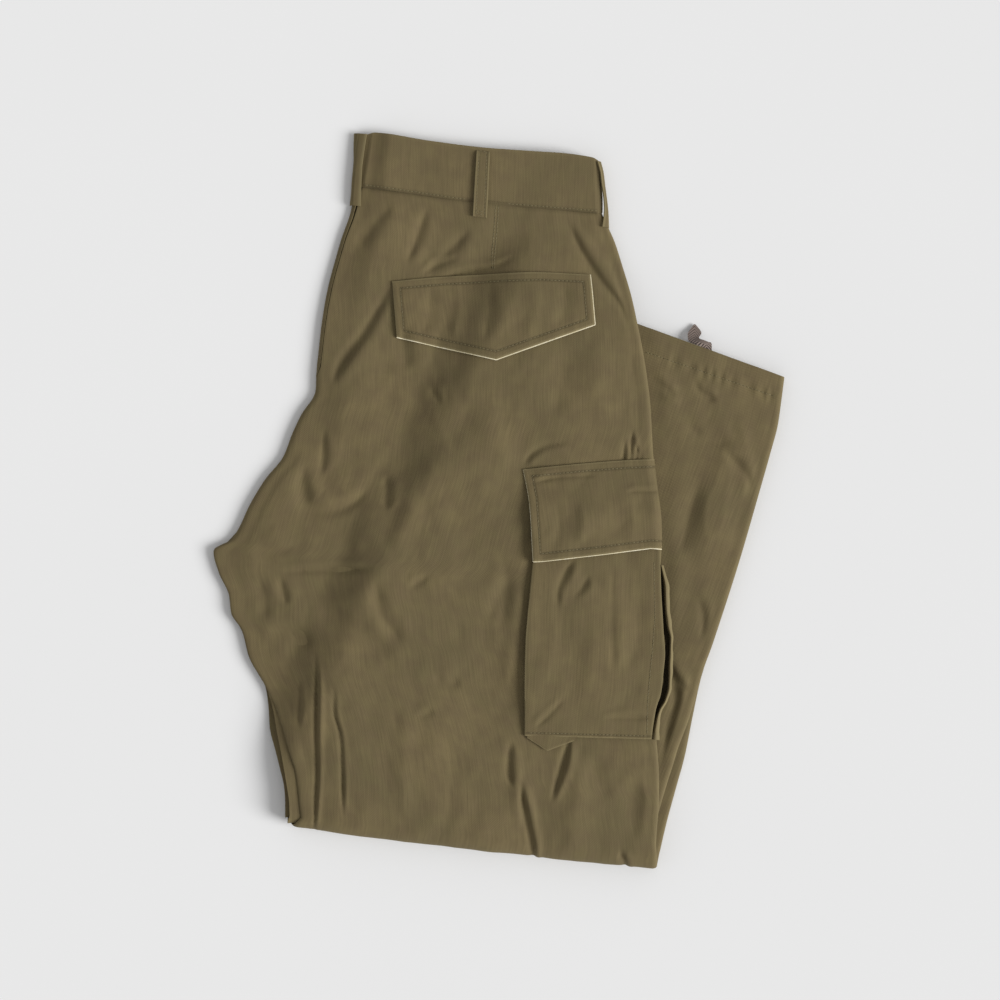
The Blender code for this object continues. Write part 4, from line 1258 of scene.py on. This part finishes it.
# The lining shows along each flap's low edge, and at the back flap's right end and the cargo flap's left
back_edge = np.concatenate([back_points[-1], back_points[::-1, -1][1:]])
back_beyond = np.where(np.arange(len(back_edge)) < back_points.shape[1], 0.8, 0.7)
lining_edge("back_flap_lining_edge", back_edge, (-20, 160), back_beyond)
cargo_edge = np.concatenate([cargo_points[:, 0], cargo_points[-1][1:]])
cargo_beyond = np.where(np.arange(len(cargo_edge)) < cargo_points.shape[0], 0.4, 0.7)
lining_edge("cargo_flap_lining_edge", cargo_edge, (80, 0), cargo_beyond)


# ---- waistband and belt loops ----


def band_piece():
    """The band as one folded ring: right back, right front, then back along the left front and left back."""
    half = BAND_PILE / 2
    layer = (half - 0.15) / 2
    rows = 34
    v = np.linspace(0, 1, rows)
    left = mix(-148.4, -150.4, v)
    right = mix(53.0, 59.4, v)
    fold_in = layer + 1.0
    wrap_in = 7
    face_count = 126
    front = CENTRE_FRONT_X
    lines = []
    for k in range(rows):
        section = [(x, BAND_PILE) for x in np.linspace(left[k] + wrap_in, right[k] - fold_in, face_count)]
        turns = np.radians(np.linspace(90, -90, 11))
        for mid_x, mid_z in ((right[k] - fold_in, BAND_PILE - layer), (right[k] - 1 - fold_in, layer)):
            section += [(mid_x + fold_in * math.cos(a), mid_z + layer * math.sin(a)) for a in turns]
            if mid_z > half:
                section.pop(face_count)
                section += [(front, half + 0.15), (front - 0.2, half), (front, half - 0.15)]
        section += [(x, 0.0) for x in np.linspace(right[k] - 1 - fold_in, left[k] + wrap_in, 30)][1:]
        wrap = np.radians(np.linspace(270, 90, 15))[1:-1]
        section += [(left[k] + wrap_in + wrap_in * math.cos(a), half + half * math.sin(a)) for a in wrap]
        lines.append(section)
    grid = np.array(lines)
    x, z = grid[..., 0], grid[..., 1]
    top, low = through(*np.array(BAND_TOP).T, x), through(*np.array(BAND_SEAM).T, x)
    face = smooth((z - half - 1) / 2)
    top = mix(np.full_like(top, BAND_TOP_Y - 2.0), top, face)
    low = mix(np.full_like(low, WAIST_Y + 0.3), low, face)
    y = mix(top, low, v[:, None])
    from_row = y - low - WAIST_ROW
    shown = (z > BAND_PILE - 0.01) & (x < right[:, None] - 4)
    crown = 0.8 * bell(x + 60, 30) * np.sin(math.pi * v)[:, None]
    z = z + shown * (swell(x, y, 41, 0.22, 48) + crown)
    z = z + shown * 0.5 * (1 + smooth((x + 149) / 30))
    z = z - shown * 0.35 * bell(from_row, 0.8)
    z = z - 3.2 * smooth((-124 - x) / 16) * smooth((z - half) / (BAND_PILE - half))
    wear_and_shade = np.zeros(x.shape)
    wear_and_shade[:2] = 0.15
    # painted shade along the row of stitches and in the groove of the waist seam
    wear_and_shade -= 0.4 * shown * bell(from_row, 1.0)
    wear_and_shade[-1] = -0.5 * shown[-1]
    piece = sheet_piece("waistband_ring", np.stack([x, y, z], axis=-1), BAND_WALL, twill, wear_and_shade, closed=True)
    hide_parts("waistband")
    return piece


band = band_piece()


LOOP_SHARE = np.linspace(0, 1, 17)  # places across a belt loop


def loop_grid(section_at):
    return np.array([section_at(t) for t in np.linspace(0, 1, 40)])


def ribbed(t):
    """Edges of a belt loop stand up beside its two rows of stitching."""
    rows = bell(t - 0.2, 0.05) + bell(t - 0.8, 0.05)
    return 0.28 * bell(t - 0.08, 0.07) + 0.28 * bell(t - 0.92, 0.07) - 0.25 * rows


def middle_loop():
    def section(t):
        y = mix(296.2, 236.2, t)
        x = mix(-52.0, -48.8, t) + LOOP_SHARE * mix(11.2, 12.0, t)
        base = np.array([height_at([right_back, band], a, y) for a in x]).max()
        rise = 0.4 + LOOP_WALL + 1.1 * math.sin(math.pi * t) ** 0.7
        return np.stack([x, np.full_like(x, y), base + rise + ribbed(LOOP_SHARE)], axis=-1)

    grid = loop_grid(section)
    z = grid[..., 2]
    for _ in range(6):
        z[1:-1] = (z[:-2] + z[1:-1] * 2 + z[2:]) / 4
    wear_and_shade = np.zeros(grid.shape[:2])
    wear_and_shade[:, (0, 1, -2, -1)] = 0.8
    piece = sheet_piece("belt_loop_right_back", grid, LOOP_WALL, twill, wear_and_shade)
    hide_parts("belt_loop_back_right")
    return piece


def edge_loop(name, node, table):
    """A loop over a folded edge of the band: for each row y, then x and z of four points across it."""
    table = np.array(table, float)
    keys = np.linspace(0, 1, len(table))

    def section(t):
        row = [float(through(keys, column, t)) for column in table.T]
        xs, zs = row[1::2], row[2::2]
        knots = np.linspace(0, 1, len(xs))
        x, z = through(knots, xs, LOOP_SHARE), through(knots, zs, LOOP_SHARE)
        return np.stack([x, np.full_like(x, row[0]), z], axis=-1)

    grid = loop_grid(section)
    wear_and_shade = np.zeros(grid.shape[:2])
    wear_and_shade[:, (0, 1, 2, 8, -2, -1)] = 0.8
    piece = sheet_piece(name, grid, LOOP_WALL, twill, wear_and_shade)
    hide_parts(node)
    return piece


loop_back = middle_loop()
loop_centre = edge_loop(
    "belt_loop_centre",
    "belt_loop_centre_back",
    (
        (296.0, -157.0, 3.0, -154.8, 5.4, -151.0, 7.2, -146.0, 8.3),
        (284.0, -156.0, 2.8, -154.8, 5.2, -152.2, 7.2, -146.4, 8.4),
        (270.0, -154.6, 2.6, -154.2, 5.0, -152.4, 7.2, -146.8, 8.4),
        (256.0, -154.4, 2.6, -154.0, 5.0, -152.2, 7.2, -146.0, 8.4),
        (244.0, -153.8, 2.6, -153.4, 4.9, -151.8, 6.9, -145.0, 8.2),
        (235.0, -153.8, 2.6, -153.0, 4.7, -151.2, 6.5, -144.4, 7.8),
    ),
)
loop_side = edge_loop(
    "belt_loop_right_side",
    "belt_loop_side_right",
    (
        (294.6, 50.6, 12.0, 52.6, 10.8, 53.6, 8.6, 53.4, 6.0),
        (286.0, 54.0, 12.0, 56.2, 10.6, 56.8, 8.2, 56.6, 5.0),
        (276.0, 56.4, 11.8, 58.6, 10.4, 59.2, 8.0, 58.8, 4.8),
        (264.0, 59.6, 11.6, 61.6, 10.2, 62.2, 7.8, 61.8, 4.8),
        (252.0, 61.2, 11.6, 64.0, 10.2, 64.8, 7.8, 64.4, 5.2),
        (240.0, 60.8, 12.2, 64.8, 11.2, 66.6, 8.4, 66.6, 5.6),
    ),
)
loop_left_side = edge_loop(
    "belt_loop_left_side",
    "belt_loop_side_left",
    (
        (294.6, 52.0, 5.6, 52.8, 4.2, 53.0, 3.0, 52.6, 1.6),
        (280.0, 54.8, 5.4, 55.8, 4.2, 56.0, 3.0, 55.4, 1.6),
        (264.0, 57.4, 5.4, 58.4, 4.2, 58.6, 3.0, 58.0, 1.6),
        (253.0, 58.6, 5.4, 59.6, 4.2, 59.8, 3.0, 59.2, 1.6),
    ),
)


# ---- topstitching ----


def waist_row(start, end):
    at = np.linspace(start, end, 30)
    return [(x, through(*np.array(BAND_SEAM).T, x) + WAIST_ROW) for x in at]


# on both sides of the belt loop
waist_lines = [waist_row(-143, -54.5), waist_row(-34.5, 57)]
flap_row = inset(BACK_FLAP_OUTLINE, FLAP_ROW)
cargo_row = inset(CARGO_FLAP_SEWN, FLAP_ROW)
cargo_row[0], cargo_row[-1] = (124.6, 43.4), (138.4, -17.6)
stitch_piece("waist_stitches", waist_lines, [band])
stitch_piece("back_flap_stitches", [closed_line(flap_row.tolist())], [back_flap])
stitch_piece("cargo_flap_stitches", [cargo_row.tolist()], [cargo_flap])
bag_lines = [
    [(46.0, -189.6), (147.0, -181.2)],
    [(134.6, -36.0), (140.6, -84.0), (141.4, -113.0), (142.0, -150.0), (144.8, -180.0)],
]
stitch_piece("cargo_bag_stitches", bag_lines, [cargo_bag])
loop_lines = [
    [(-49.8, 293.0), (-46.5, 238.4)],
    [(-43.2, 293.0), (-39.2, 238.4)],
    [(-47.6, 238.6), (-38.4, 238.6)],
    [(-47.4, 241.0), (-38.6, 241.0)],
    [(-50.6, 292.0), (-42.6, 292.0)],
]
stitch_piece("belt_loop_stitches", loop_lines, [loop_back])
dart_lines = [
    [(-30.6, 248.0), (-29.6, 221.0), (-29.1, 203.0), (-26.9, 192.0)],
    [(-28.2, 248.0), (-27.2, 221.0), (-26.9, 203.0), (-25.9, 193.0)],
]
stitch_piece("dart_stitches", dart_lines, [right_back])


def hem_line():
    made = []
    left_end, right_end = lower_line(1 - HEM_DEPTH / LOWER_LENGTH)
    for t in np.linspace(0, 1, 120):
        x, y = mix(left_end, right_end, t)
        if upper_edge(4, y) + 1 < x < right_end[0] - 5:
            made.append((x, y))
    return made


stitch_piece("hem_stitches", [hem_line()], [left_back])
